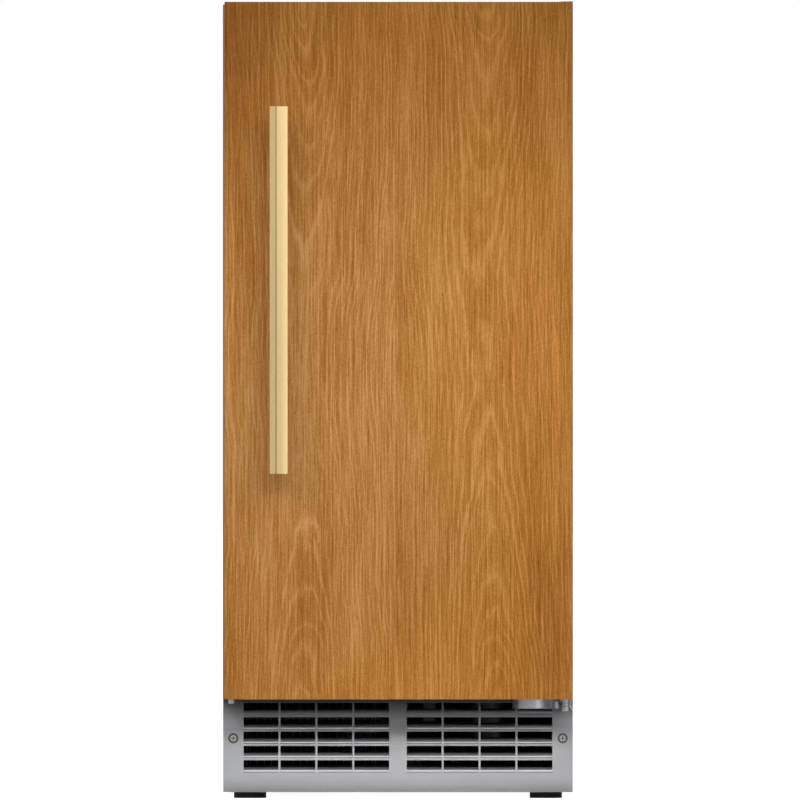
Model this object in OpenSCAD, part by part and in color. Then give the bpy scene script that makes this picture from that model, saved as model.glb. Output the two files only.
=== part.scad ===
// Under-counter clear ice maker, 15 inch class, with a wood overlay panel on its door.
// Millimetres. The origin is on the floor under the middle of the unit,
// +X is right as seen from the front, the front faces -Y and +Z is up.

/* [Overall] */
// Width over the side panels
unit_w = 378; // [372:1:400]
// Height over the upper hinge
unit_h = 861; // [845:1:885]
// Depth of the cabinet without its door
cabinet_d = 540; // [535:1:570]
// Floor clearance with the feet screwed in
foot_gap = 6.5; // [6.5:0.5:9]

/* [Cabinet] */
// Thickness of the sheet steel
sheet_t = 1.2; // [0.8:0.1:1.5]
// Height of the plinth under the insulated cabinet
plinth_h = 108; // [106:1:116]
// Thickness of the insulated walls
wall_t = 40; // [38:1:42]
// Width of the steel flanges that the gasket meets
flange_w = 29; // [27:1:32]
// Width of the side flanges behind the toe grille
toe_flange_w = 20; // [16:1:21]

/* [Liner] */
// Thickness of the moulded liner
liner_t = 2.5; // [1.5:0.5:3]
// Corner radius of the bin
bin_r = 14; // [8:1:18]
// Depth of the low bin floor from the cabinet front
low_floor_d = 211; // [200:1:216]
// Lean of the riser between the low and the raised floor
riser_lean = 20; // [10:1:24]
// Height of the raised floor over the low floor
step_h = 185; // [180:1:195]
// Reach of the ledges that carry the water pan
ledge_w = 15; // [12:1:16]

/* [Door] */
// Thickness of the steel door
door_t = 41; // [38:1:46]
// Gap between the door and the cabinet, filled by the gasket
gasket_t = 10; // [8:1:12]
// Width of the gasket
gasket_w = 14; // [12:1:15]
// Inset of the gasket from the side of the cabinet
gasket_inset = 13; // [13:0.5:15]
// Projection of the raised ring on the door liner
dyke_h = 20; // [16:1:22]
// Side clearance between the raised ring and the bin
dyke_gap = 9; // [8:1:12]

/* [Overlay panel] */
// Thickness of the wood panel
panel_t = 19; // [16:1:22]
// Strip of the door that shows beside the panel
panel_reveal = 2; // [1:0.5:4]
// Overhang of the panel below the door
panel_drop = 1; // [0.5:0.5:2]

/* [Handle] */
// Length of the handle
handle_l = 396; // [360:1:420]
// Width of the handle
handle_w = 19.4; // [18:0.2:24]
// Projection of the handle from the panel
handle_proj = 38; // [34:1:44]
// Depth of the grip section
grip_d = 16; // [14:1:18]
// Distance from the side of the cabinet to the middle of the handle
handle_inset = 60.5; // [50:0.5:80]
// Height of the middle of the handle
handle_z = 549; // [520:1:580]
// Distance between the handle posts
post_span = 320; // [288:1:330]
// Diameter of the handle posts
post_d = 10; // [8:0.5:12]

/* [Hinges] */
// Thickness of the hinge plates
hinge_t = 3; // [2.5:0.5:4]
// Diameter of the hinge pins
pin_d = 8; // [7:0.5:9]
// Distance from the side of the cabinet to the hinge axis
pin_inset = 7; // [7:0.5:8]
// Distance from the back of the door to the hinge axis
pin_setback = 19; // [17:1:21]
// Radius of the rounded nose beside the lower pin
nose_r = 26; // [22:1:27]
// Height of the lip around the nose
nose_h = 10.8; // [8:0.2:12]

/* [Toe grille] */
// Depth of the grille in front of the cabinet
grille_d = 6; // [5:0.5:7]
// Width of one slot
slot_w = 37.7; // [34:0.1:37.7]
// Height of one slot
slot_h = 13.2; // [11:0.2:13.6]
// Slots side by side in one bank
slot_cols = 4; // [2:1:4]
// Rows of slots
slot_rows = 5; // [3:1:5]
// Bar between neighbouring slots of a row
slot_bar = 2.2; // [2:0.1:2.5]
// Distance from one row to the next
row_pitch = 15.5; // [15.5:0.1:16.4]
// Width of the plain stretch between the two banks
bank_gap = 19; // [14:1:22]
// Inner radius of the curved louvres
louvre_r = 14; // [12:0.5:15]
// Angle that each louvre turns through behind its rounded front
louvre_turn = 30; // [20:1:40]
// Radius of the rounded front of each louvre
lip_r = 5.6; // [4.5:0.1:6]
// Height of the stretch that rolls under along the lower edge
roll_h = 16; // [12:1:16]

/* [Feet] */
// Diameter of the foot pads
foot_d = 35; // [30:1:40]
// Diameter of the foot studs
stud_d = 10; // [8:1:12]
// Distance from the side of the cabinet to the middle of a foot
foot_inset = 29; // [26:1:34]

/* [Ice tray] */
// Tilt of the evaporator and the cutter grid
tilt = 12; // [10:0.5:13]
// Width of the evaporator plate
evap_w = 240; // [232:1:242]
// Length of the evaporator plate along its slope
evap_l = 222; // [214:1:224]
// Diameter of the evaporator tube
coil_d = 9.5; // [8:0.5:10]
// Distance between the runs of the evaporator tube
coil_pitch = 28; // [26:1:30]
// Number of cutter wires from front to back
wires_along = 9; // [6:1:11]
// Number of cutter wires from side to side
wires_across = 5; // [3:1:7]
// Diameter of the cutter wires
wire_d = 1.6; // [1:0.2:2]

/* [Controls] */
// Diameter of the push buttons
button_d = 14; // [12:0.5:16]
// Travel of the push buttons
button_travel = 2; // [1:0.5:2.5]
// Distance between the push buttons
button_pitch = 55; // [45:1:65]

/* [Condensing unit] */
// Diameter of the fan
fan_d = 142; // [130:1:146]
// Number of fan blades
fan_blades = 5; // [4:1:6]
// Angle of the fan blades
fan_pitch = 28; // [20:1:30]
// Number of condenser fins
fin_count = 18; // [12:1:22]
// Diameter of the compressor shell
compressor_d = 136; // [128:1:138]
// Height of the compressor shell
compressor_h = 180; // [170:1:190]

/* [Connections] */
// Outside diameter of the water inlet thread
inlet_d = 26.4; // [20:0.1:28]
// Outside diameter of the drain spigot
drain_d = 16; // [14:0.5:18]
// Bore of the power gland
gland_d = 9; // [7:0.5:11]

/* [Hidden] */

// Clearances
gap = 0.3;          // between bodies that move past each other
fit = 0.05;         // radial, of shafts and pins in their bores
thread_gap = 0.3;   // radial, of studs and screws in their holes
eps = 0.4;          // overlap of solids that are one piece
cut = 1;            // how far a cutter runs past a face

// Planes of the cabinet
xs = unit_w / 2;
xi = xs - sheet_t;
y_back = (cabinet_d + gasket_t + door_t + panel_t + handle_proj) / 2;
y_cf = y_back - cabinet_d;
y_db = y_cf - gasket_t;
y_df = y_db - door_t;
y_pf = y_df - panel_t;
y_hf = y_pf - handle_proj;
y_gf = y_cf - grille_d;
z_top = unit_h - hinge_t;
z_pan = foot_gap + sheet_t;

// Bin
bin_x = xs - wall_t;
bin_floor = plinth_h + wall_t;
bin_top = z_top - wall_t;
step_z = bin_floor + step_h;
riser_y = y_cf + low_floor_d;
bin_back = y_back - wall_t - 6;
bulk_y = riser_y + riser_lean + wall_t;
bulk_z = step_z - wall_t;

// Door
door_z0 = plinth_h + 0.5;
door_z1 = z_top - 1;
panel_z0 = door_z0 - panel_drop;
panel_z1 = unit_h - 1;
panel_x0 = -xs + panel_reveal;
panel_x1 = xs - 0.3;
seal_x = xs - gasket_inset;
seal_z0 = plinth_h + 7;
seal_z1 = z_top - 7;

// Hinges
pin_x = xs - pin_inset;
pin_y = y_db - pin_setback;
leaf_z1 = plinth_h - 0.2;
leaf_z0 = leaf_z1 - hinge_t;
arm_r = 5.8;
nose_x = pin_x - arm_r - nose_r - 1;
nose_y = y_gf - nose_r * 0.14;
bush_d = pin_d + 6;
plug_x = -pin_x + 3;
plug_h = 6;
hinge_leaf_back = y_cf + 46;

// Grille
grille_z0 = foot_gap;
grille_z1 = plinth_h - 1.5;
bank_w = slot_cols * slot_w + (slot_cols - 1) * slot_bar;
slot_z0 = grille_z1 - 3.4 - slot_h - (slot_rows - 1) * row_pitch;
screw_x = xs - 11;
screw_z = (grille_z0 + grille_z1) / 2 + 8.3;
roll_d = grille_d - 1.2;
roll_r = (roll_h * roll_h + roll_d * roll_d) / (2 * roll_d);
cup_d = 10.8;       // of the round wells that the screws sit in
cup_depth = 3.6;

// Feet
foot_y = [y_cf + foot_d / 2 + 7, y_back - 38];
nut_d = stud_d + 8;
nut_h = 22;
pad_h = foot_gap - gap;

// Ice tray
evap_y = riser_y;
evap_z = bin_top - 118;
rail_t = 5.5;
lip_t = 1.5;
rail_x = evap_w / 2 + lip_t;
cut_l = 165;
cut_y = y_cf + 21;
cut_z = evap_z - 72;
pan_z0 = evap_z - 100;
pan_z1 = evap_z - 64;
pan_wall = 2.5;
pan_x = bin_x - ledge_w - 3;
pan_y0 = riser_y - 23;
pan_y1 = bin_back - 2;
pump_r = 21;
pump_x = pan_x - pump_r - 5;
pump_y = bin_back - pump_r - 5;
pump_out = pump_r + 9;
volute_z = pan_z0 - 22;
dist_u = evap_l - 8;
dist_z = 24;
dist_d = 16;
hose_r = 5.5;

// Machine space
cond_x0 = -xi + 22;
cond_x1 = -24;
cond_y0 = bulk_y + 15;
cond_d = 44;
cond_z0 = z_pan;
cond_h = 178;
fan_x = (cond_x0 + cond_x1) / 2;
fan_y = cond_y0 + cond_d;
fan_z = cond_z0 + cond_h / 2;
shaft_d = 5;
comp_x = xs - compressor_d / 2 - 16;
comp_y = y_back - 130;
comp_z = z_pan + 17;
comp_ear = 62;
ear_margin = 12;
comp_top = comp_z + compressor_h;
line_r = 4;
riser_line_y = y_back - 24;
suction_x = 20;
liquid_x = -24;
gas_z = bulk_z - 53;
drier_x = 2;
drier_y = fan_y + 51;
bend_r = 8;
recess = [-110, 35, z_pan + 7, z_pan + 83];
recess_d = 30;
recess_y = y_back - recess_d;
spigot_l = 24;       // of the inlet and the outlet, past the recess's wall
collar_h = 4;        // of their shoulders, past the recess's wall
collar_w = 1.5;
inlet_x = -42;
fill_x = -60;
gland_x = -86;
drain_hose_r = 9.5;
drain_x = comp_x - comp_ear - ear_margin - drain_hose_r - 5.5;
drain_z = z_pan + 18;
fitting_z = z_pan + 44;

// ---------- Shared shapes ----------

// A flat shape in XZ, from y0 back to y0 + t
module upright(y0, t) {
    translate([0, y0 + t, 0]) rotate([90, 0, 0]) linear_extrude(t) children();
}

// A profile in YZ, drawn from x0 to x1
module across(x0, x1) {
    translate([x0, 0, 0]) rotate([90, 0, 90]) linear_extrude(x1 - x0) children();
}

// Rectangle from corner to corner with rounded corners
module round_rect(x0, y0, x1, y1, r) {
    translate([x0 + r, y0]) square([x1 - x0 - 2 * r, y1 - y0]);
    translate([x0, y0 + r]) square([x1 - x0, y1 - y0 - 2 * r]);
    for (x = [x0 + r, x1 - r], y = [y0 + r, y1 - r])
        translate([x, y]) circle(r = r, $fn = 48);
}

// Box from one corner to the other
module block(a, b) {
    translate(a) cube(b - a);
}

function unit(v) = v / norm(v);

// Straight stretch of a round tube between two points
module stretch(a, b, r) {
    u = unit(b - a);
    q = abs(u.z) < 0.9 ? [0, 0, 1] : [1, 0, 0];
    x = unit(cross(q, u));
    y = cross(u, x);
    multmatrix([[x.x, y.x, u.x, a.x], [x.y, y.y, u.y, a.y], [x.z, y.z, u.z, a.z], [0, 0, 0, 1]])
        cylinder(h = norm(b - a), r = r, $fn = 32);
}

// Socket bend at p, from direction u to direction v, a little larger than its tube
module elbow(p, u, v, r, rb) {
    turn = acos(u * v);
    a = p - u * rb * tan(turn / 2);
    c = p + unit(v - u) * rb / cos(turn / 2);
    x = unit(a - c);
    z = cross(x, u);
    multmatrix([[x.x, u.x, z.x, c.x], [x.y, u.y, z.y, c.y], [x.z, u.z, z.z, c.z], [0, 0, 0, 1]])
        rotate_extrude(angle = turn, $fn = 48) translate([rb, 0]) circle(r = r + 0.35, $fn = 24);
}

// Tube along a list of points with a bend at each inner point
module pipe(pts, r, rb) {
    n = len(pts);
    function dir(i) = unit(pts[i + 1] - pts[i]);
    function trim(i) = i == 0 || i == n - 1 ? 0 : max(0, rb * tan(acos(dir(i - 1) * dir(i)) / 2) - 1.5);
    for (i = [0 : n - 2])
        stretch(pts[i] + dir(i) * trim(i), pts[i + 1] - dir(i) * trim(i + 1), r);
    for (i = [1 : 1 : n - 2])
        elbow(pts[i], dir(i - 1), dir(i), r, rb);
}

// Half-round return bend in the XY plane, opening towards -Y, its legs 2 * rb apart
module return_bend(rb, r) {
    rotate_extrude(angle = 180, $fn = 48) translate([rb, 0]) circle(r = r + 0.35, $fn = 24);
}

// Curved louvre profile: starts at the origin, runs back along +X and rises
module louvre_profile(r, t, turn) {
    reach = 2 * r;
    translate([-eps, r]) intersection() {
        difference() {
            circle(r = r + t, $fn = 96);
            circle(r = r, $fn = 96);
        }
        polygon([[0, 0], [0, -reach], [reach, -reach], [reach * sin(turn), -reach * cos(turn)]]);
    }
}

// Cross-recessed screw along +Y, with the underside of its head at y = 0
module pan_screw(head_d, head_h, shank_d, shank_l) {
    cross_l = head_d * 0.36;
    cross_w = head_d * 0.09;
    chamfer = 0.5;
    difference() {
        rotate([90, 0, 0]) union() {
            cylinder(h = head_h - chamfer, r = head_d / 2, $fn = 48);
            translate([0, 0, head_h - chamfer - eps])
                cylinder(h = chamfer + eps, r1 = head_d / 2, r2 = head_d / 2 - chamfer, $fn = 48);
            translate([0, 0, -shank_l]) cylinder(h = shank_l + eps, r = shank_d / 2, $fn = 24);
        }
        for (a = [0, 90]) rotate([0, a, 0])
            block([-cross_l, -head_h - cut, -cross_w], [cross_l, -head_h * 0.4, cross_w]);
    }
}

// ---------- Cabinet ----------

module foot_places() {
    for (x = [-xs + foot_inset, xs - foot_inset], y = foot_y) translate([x, y, 0]) children();
}

module base_pan() color("silver") {
    y0 = y_cf + sheet_t;
    y1 = y_back - sheet_t;
    difference() {
        union() {
            difference() {
                block([-xi, y0, foot_gap], [xi, y1, foot_gap + 19]);
                block([-xi + sheet_t, y0 + sheet_t, z_pan], [xi - sheet_t, y1 - sheet_t, foot_gap + 20]);
            }
            foot_places() translate([0, 0, foot_gap]) cylinder(h = nut_h, r = nut_d / 2, $fn = 6);
        }
        foot_places() translate([0, 0, foot_gap - cut])
            cylinder(h = nut_h + 2 * cut, r = stud_d / 2 + thread_gap, $fn = 48);
        for (i = [0 : 5]) block([-60, y_cf + 60 + 22 * i, 0], [60, y_cf + 64 + 22 * i, z_pan + cut]);
        block([recess[0] - 2 * sheet_t, recess_y - cut, z_pan + 4], [recess[1] + 2 * sheet_t, y_back, z_pan + 40]);
    }
}

// The right-hand panel; the left one is its mirror image
module side_panel() {
    difference() {
        union() {
            block([xi, y_cf, foot_gap], [xs, y_back, z_top]);
            block([xs - flange_w, y_cf, plinth_h], [xs, y_cf + sheet_t, z_top]);
            block([xs - toe_flange_w, y_cf, foot_gap], [xs, y_cf + sheet_t, leaf_z0 - gap]);
            block([xs - 14, y_back - 2 * sheet_t, foot_gap + 20], [xs, y_back - sheet_t, bulk_z - sheet_t]);
            block([xs - 14, y_back - 2 * sheet_t, bulk_z], [xs, y_back - sheet_t, z_top - sheet_t]);
        }
        translate([screw_x, y_cf - cut, screw_z]) rotate([-90, 0, 0])
            cylinder(h = 4 * cut, r = 2 + thread_gap, $fn = 24);
    }
}

module left_side_panel() color("dimgray") mirror([1, 0, 0]) side_panel();
module right_side_panel() color("dimgray") side_panel();

module hinge_screw_places(z) {
    for (p = [[-50, 34], [-26, 50], [-50, 66]]) translate([pin_x + p.x, y_cf + p.y - 14, z]) children();
}

module top_panel() color("dimgray") difference() {
    union() {
        block([-xi, y_cf + sheet_t, z_top - sheet_t], [xi, y_back - sheet_t, z_top]);
        block([-xs + flange_w, y_cf, z_top - flange_w], [xs - flange_w, y_cf + sheet_t, z_top]);
    }
    hinge_screw_places(z_top - 3 * cut) cylinder(h = 4 * cut, r = 2 + thread_gap, $fn = 24);
}

module bulkhead() color("gainsboro") difference() {
    union() {
        block([-xs + flange_w, y_cf, plinth_h], [xs - flange_w, y_cf + sheet_t, plinth_h + flange_w]);
        block([-xi, y_cf + sheet_t, plinth_h], [xi, bulk_y, plinth_h + sheet_t]);
        block([-xi, bulk_y - sheet_t, plinth_h], [xi, bulk_y, bulk_z]);
        block([-xi, bulk_y - sheet_t, bulk_z - sheet_t], [xi, y_back - sheet_t, bulk_z]);
    }
    block([fill_x - 8, riser_line_y - 20, bulk_z - 4], [suction_x + 12, riser_line_y + 10, bulk_z + 4]);
    translate([0, y_cf + low_floor_d * 0.7, plinth_h - cut]) cylinder(h = 4, r = 12, $fn = 48);
    lower_hinge_screw_places(plinth_h - cut) cylinder(h = 4, r = 2 + thread_gap, $fn = 24);
}

module rear_panel() color("dimgray") {
    block([-xi, y_back - sheet_t, bulk_z + gap], [xi, y_back, z_top]);
    for (x = [-xi / 2, xi / 2])
        block([x - 20, y_back - sheet_t - 2.5, bulk_z + 60], [x + 20, y_back - sheet_t + eps, z_top - 60]);
}

module service_panel() color("dimgray") {
    difference() {
        union() {
            block([-xi, y_back - sheet_t, foot_gap], [xi, y_back, bulk_z]);
            block([recess[0] - sheet_t, recess_y, recess[2] - sheet_t],
                  [recess[1] + sheet_t, y_back - eps, recess[3] + sheet_t]);
        }
        block([recess[0], recess_y + sheet_t, recess[2]], [recess[1], y_back + cut, recess[3]]);
        vent_places() block([0, y_back - 3, 0], [60, y_back + cut, 5]);
        for (p = [[inlet_x, fitting_z, inlet_d / 2 + collar_w], [gland_x, fitting_z, gland_d / 2 + 3.5],
                  [drain_x, drain_z, drain_d / 2 + collar_w]])
            translate([p.x, recess_y - cut, p.y]) rotate([-90, 0, 0])
                cylinder(h = 4, r = p.z + thread_gap, $fn = 48);
    }
    vent_places() translate([0, y_back - sheet_t, 5]) mirror([0, 0, 1])
        mirror([0, 1, 0]) across(0, 60) louvre_profile(7, 0.8, 60);
}

// Two columns of air outlets in the service panel
module vent_places() {
    for (x = [-xs + 39, xs - 99], i = [0 : 8]) translate([x, 0, bulk_z - 30 - 14 * i]) children();
}

// Section of the bin through its middle, grown by g
module bin_section(g) {
    polygon([
        [y_cf - (g == 0 ? cut : 0), bin_floor - g], [riser_y + g, bin_floor - g],
        [riser_y + riser_lean + g, step_z - g], [bin_back + g, step_z + 12 - g],
        [bin_back + g, bin_top + g], [y_cf - (g == 0 ? cut : 0), bin_top + g]
    ]);
}

module bin_space(g) {
    intersection() {
        across(-bin_x - g, bin_x + g) bin_section(g);
        upright(y_cf - 2 * cut, cabinet_d)
            round_rect(-bin_x - g, bin_floor - g, bin_x + g, bin_top + g, bin_r + g);
    }
}

// Holes in the back wall of the bin for the evaporator lines and the water fill tube
module rear_wall_holes(y0, y1) {
    for (x = [-coil_x(0), coil_x(0)])
        translate([x, y0, evap_line((y0 + y1) / 2)]) rotate([-90, 0, 0]) cylinder(h = y1 - y0, r = line_r + 4, $fn = 32);
    translate([fill_x, y0, evap_z]) rotate([-90, 0, 0]) cylinder(h = y1 - y0, r = line_r + 1, $fn = 32);
}

module inner_liner() color("white") {
    difference() {
        union() {
            bin_space(liner_t);
            upright(y_cf, liner_t)
                translate([-xs + flange_w, plinth_h + flange_w])
                square([unit_w - 2 * flange_w, z_top - plinth_h - 2 * flange_w]);
        }
        bin_space(0);
        rear_wall_holes(bin_back - cut, bin_back + liner_t + cut);
        translate([0, y_cf + low_floor_d * 0.7, bin_floor - 4]) cylinder(h = 6, r = 12, $fn = 48);
    }
    for (s = [-1, 1]) {
        x0 = s > 0 ? bin_x - ledge_w : -bin_x - eps;
        block([x0, pan_y0 + 6, pan_z1 - 12], [x0 + ledge_w + eps, bin_back + eps, pan_z1 - 4]);
    }
    for (s = [-1, 1], i = [0 : 3]) {
        y = riser_y + 60 + 50 * i;
        block([s > 0 ? bin_x - 2 : -bin_x - eps, y, step_z + 40],
              [s > 0 ? bin_x + eps : -bin_x + 2, y + 10, pan_z0 - 60]);
    }
    translate([-bin_x - eps, scoop_y, scoop_z]) rotate([0, 90, 0]) {
        cylinder(h = 14 + eps, r = 4, $fn = 32);
        cylinder(h = 2.5, r = 8, $fn = 32);
    }
}

module foam_insulation() color("khaki") difference() {
    across(-xi, xi) polygon([
        [y_cf + liner_t, plinth_h + sheet_t], [bulk_y - sheet_t, plinth_h + sheet_t],
        [bulk_y - sheet_t, bulk_z], [y_back - 2 * sheet_t - 2.5, bulk_z],
        [y_back - 2 * sheet_t - 2.5, z_top - sheet_t], [y_cf + liner_t, z_top - sheet_t]
    ]);
    bin_space(liner_t);
    block([fill_x - 12, riser_line_y - 14, bulk_z - cut], [suction_x + 14, riser_line_y + 11, evap_line_z() + 14]);
    block([coil_x(0) - 12, riser_line_y - 12, evap_line_z() - 12],
          [-coil_x(0) + 12, riser_line_y + 11, evap_line_z() + 14]);
    rear_wall_holes(bin_back, riser_line_y);
    translate([0, y_cf + low_floor_d * 0.7, plinth_h]) cylinder(h = wall_t, r = 12.5, $fn = 48);
    hinge_screw_places(z_top - 16) cylinder(h = 16, r = 3, $fn = 24);
    lower_hinge_screw_places(plinth_h) cylinder(h = 14, r = 3, $fn = 24);
}

// ---------- Toe grille ----------

module slot_places() {
    for (s = [-1, 1], c = [0 : slot_cols - 1], r = [0 : slot_rows - 1])
        translate([s * (bank_gap / 2 + bank_w / 2) - bank_w / 2 + c * (slot_w + slot_bar),
                   slot_z0 + r * row_pitch]) children();
}

// Section of the grille through YZ, inset by t; its lower edge rolls under
module grille_section(t) {
    w = grille_d - t + (t > 0 ? cut : 0);
    translate([y_gf + t, grille_z0 + roll_h]) square([w, grille_z1 - grille_z0 - roll_h - t]);
    intersection() {
        translate([y_gf + t, grille_z0 + t]) square([w, roll_h - t]);
        translate([y_gf + roll_r, grille_z0 + roll_h]) circle(r = roll_r - t, $fn = 360);
    }
}

module grille_screw_places(y) {
    for (s = [-1, 1]) translate([s * screw_x, y, screw_z]) rotate([-90, 0, 0]) children();
}

module toe_grille() color("lightgray") {
    notch_x = nose_x - nose_r - gap;
    difference() {
        union() {
            intersection() {
                difference() {
                    across(-xs, xs) grille_section(0);
                    across(-xs + sheet_t, xs - sheet_t) grille_section(sheet_t);
                }
                // Only the upper corners are rounded
                upright(y_gf - cut, grille_d + 2 * cut) round_rect(-xs, grille_z0 - 4, xs, grille_z1, 2);
            }
            grille_screw_places(y_gf + eps) cylinder(h = grille_d - eps, r = cup_d / 2 + 1.2, $fn = 48);
        }
        upright(y_gf - cut, sheet_t + 2 * cut) slot_places() square([slot_w, slot_h]);
        block([notch_x, y_gf - cut, leaf_z0 - gap], [xs + cut, y_cf + cut, grille_z1 + cut]);
        grille_screw_places(y_gf - cut) cylinder(h = cup_depth + cut, r = cup_d / 2, $fn = 48);
        grille_screw_places(y_gf) cylinder(h = grille_d + cut, r = 2 + thread_gap, $fn = 24);
    }
    for (s = [-1, 1], r = [0 : slot_rows - 1]) {
        x0 = s > 0 ? bank_gap / 2 - 1 : -bank_gap / 2 - bank_w - 1;
        translate([0, y_gf + 0.1, slot_z0 + r * row_pitch]) across(x0, x0 + bank_w + 2) {
            // Quarter round from the slot's lower edge up and back, then the hollow blade
            translate([lip_r, 0]) intersection() {
                difference() {
                    circle(r = lip_r, $fn = 180);
                    circle(r = lip_r - 0.8, $fn = 180);
                }
                translate([-lip_r - 1, 0]) square([lip_r + 1, lip_r + 1]);
            }
            translate([0, -0.6]) square([0.8, 0.6]);
            translate([lip_r - 0.4, lip_r - 0.25]) louvre_profile(louvre_r, 0.8, louvre_turn);
        }
    }
}

module grille_screws() color("silver") {
    for (s = [-1, 1]) translate([s * screw_x, y_gf + cup_depth, screw_z])
        pan_screw(7.2, cup_depth - 0.5, 4, grille_d + 8 - cup_depth);
}

// ---------- Hinges ----------

module lower_hinge_screw_places(z) {
    for (p = [[-52, 30], [-30, 22], [-12, 34]]) translate([pin_x + p.x, y_cf + p.y - 6, z]) children();
}

module lower_hinge_bracket() color("silver") difference() {
    edge_r = 0.6;
    union() {
        translate([0, 0, leaf_z0]) linear_extrude(hinge_t) {
            translate([nose_x, nose_y]) circle(r = nose_r - 1, $fn = 96);
            translate([nose_x - nose_r + 2, nose_y])
                square([pin_x - nose_x + nose_r - 2, hinge_leaf_back - nose_y]);
            translate([pin_x - arm_r, pin_y]) square([2 * arm_r, hinge_leaf_back - pin_y]);
            translate([pin_x, pin_y]) circle(r = arm_r, $fn = 64);
        }
        translate([nose_x, nose_y, leaf_z1 - nose_h]) rotate([0, 0, 180 + 8])
            rotate_extrude(angle = 164, $fn = 96) {
                translate([nose_r - hinge_t, edge_r]) square([hinge_t, nose_h - edge_r - 0.3]);
                translate([nose_r - hinge_t, 0]) square([hinge_t - edge_r, edge_r + 0.2]);
                translate([nose_r - edge_r, edge_r]) circle(r = edge_r, $fn = 24);
            }
    }
    translate([pin_x, pin_y, leaf_z0 - cut]) cylinder(h = hinge_t + 2 * cut, r = pin_d / 2 + fit, $fn = 48);
    lower_hinge_screw_places(leaf_z0 - cut) cylinder(h = hinge_t + 2 * cut, r = 2 + thread_gap, $fn = 24);
}

module lower_hinge_pin() color("silver") translate([pin_x, pin_y, 0]) difference() {
    rotate_extrude($fn = 64) polygon([
        [0, leaf_z0 - 11.4], [5.6, leaf_z0 - 11.4], [7, leaf_z0 - 10.4], [7, leaf_z0 - 7.6], [5.5, leaf_z0 - 7.6],
        [5.5, leaf_z0 - 5.4], [4.9, leaf_z0 - 5], [4.9, leaf_z0 - 1.6], [5.5, leaf_z0 - 1.2], [5.5, leaf_z0],
        [pin_d / 2, leaf_z0], [pin_d / 2, door_z0 + 14], [pin_d / 2 - 1, door_z0 + 15], [0, door_z0 + 15]
    ]);
    translate([0, 0, leaf_z0 - 11.4 - cut]) cylinder(h = 4, r = 2.9, $fn = 6);
}

module upper_hinge_bracket() color("silver") difference() {
    union() {
        translate([0, 0, z_top]) linear_extrude(hinge_t) {
            translate([pin_x, pin_y]) circle(r = pin_inset - 0.5 + 2.5, $fn = 64);
            translate([pin_x - 9, pin_y]) square([pin_inset + 9 - 0.3, y_cf + 70 - pin_y]);
            translate([pin_x - 64, y_cf + 6]) square([pin_inset + 64 - 0.3, 64]);
        }
        translate([pin_x, pin_y, door_z1 - 15]) cylinder(h = 15 + cut + eps, r = pin_d / 2, $fn = 48);
    }
    block([xs - 0.3, y_db - 60, z_top - cut], [xs + 20, y_back, unit_h + cut]);
    hinge_screw_places(z_top - cut) cylinder(h = hinge_t + 2 * cut, r = 2 + thread_gap, $fn = 24);
    hinge_screw_places(z_top + 0.8) cylinder(h = hinge_t - 0.7, r1 = 2.3, r2 = 4.5, $fn = 32);
}

module hinge_screws() color("silver") {
    hinge_screw_places(z_top - 12) {
        cylinder(h = 12 + hinge_t - 0.4, r = 2, $fn = 24);
        translate([0, 0, 12.8]) cylinder(h = hinge_t - 1.1, r1 = 2.1, r2 = 4, $fn = 32);
    }
    lower_hinge_screw_places(leaf_z0 - 2.6) difference() {
        union() {
            cylinder(h = 2.6, r = 4, $fn = 32);
            cylinder(h = 14, r = 2, $fn = 24);
        }
        translate([0, 0, -cut]) cylinder(h = 2.4, r = 1.6, $fn = 6);
    }
}

// ---------- Controls ----------

control_y = y_cf + 16;
control_z0 = bin_top - 52;
button_z = bin_top - 30;
function button_x(i) = (i - 1) * button_pitch;

module control_housing() color("whitesmoke") {
    w = bin_x - bin_r;
    difference() {
        across(-w, w) polygon([
            [control_y, control_z0 + 6], [control_y + 6, control_z0], [control_y + 60, control_z0 + 10],
            [control_y + 76, bin_top], [control_y, bin_top]
        ]);
        across(-w + 2.5, w - 2.5) polygon([
            [control_y + 2.5, control_z0 + 7], [control_y + 7, control_z0 + 2.5],
            [control_y + 58, control_z0 + 12.5], [control_y + 72, bin_top + cut], [control_y + 2.5, bin_top + cut]
        ]);
        for (i = [0 : 2]) translate([button_x(i), control_y - cut, button_z]) rotate([-90, 0, 0])
            cylinder(h = 5, r = button_d / 2 + gap, $fn = 64);
        for (i = [0 : 2]) translate([button_x(i), control_y - cut, button_z + button_d / 2 + 6]) rotate([-90, 0, 0])
            cylinder(h = 1.6, r = 1.6, $fn = 32);
        translate([0, control_y + 30, control_z0 + 8]) block([-40, -12, -14], [40, 12, 2]);
    }
    // Guides behind the button flanges, and the clear cover of the bin lamp
    for (i = [0 : 2]) translate([button_x(i), control_y + 2.5 - eps, button_z]) rotate([-90, 0, 0]) difference() {
        cylinder(h = 9 + eps, r = button_d / 2 + 5, $fn = 64);
        translate([0, 0, -cut]) cylinder(h = 11, r = button_d / 2 + 3, $fn = 64);
    }
    translate([0, control_y + 30, control_z0 + 4]) block([-42, -14, 2], [42, 14, 4]);
}

module push_button(i) {
    translate([button_x(i), control_y - 1.6, button_z]) rotate([-90, 0, 0]) difference() {
        union() {
            cylinder(h = 1.6 + 2.5 + gap, r = button_d / 2, $fn = 64);
            translate([0, 0, 1.6 + 2.5 + gap]) cylinder(h = 1.5, r = button_d / 2 + 2, $fn = 64);
            cylinder(h = 10, r = 3, $fn = 32);
        }
        translate([0, 0, -6.4]) sphere(r = 7, $fn = 64);
    }
}

module power_button() color("gainsboro") push_button(0);
module clean_button() color("gainsboro") push_button(1);
module light_button() color("gainsboro") push_button(2);

// ---------- Evaporator, pan and cutter ----------

coil_runs = 8;
function coil_x(i) = (i - (coil_runs - 1) / 2) * coil_pitch;
coil_z = -coil_d / 2 - 0.4;
coil_u0 = 22;
coil_u1 = evap_l - 24;
coil_end = evap_l - 2;
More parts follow.
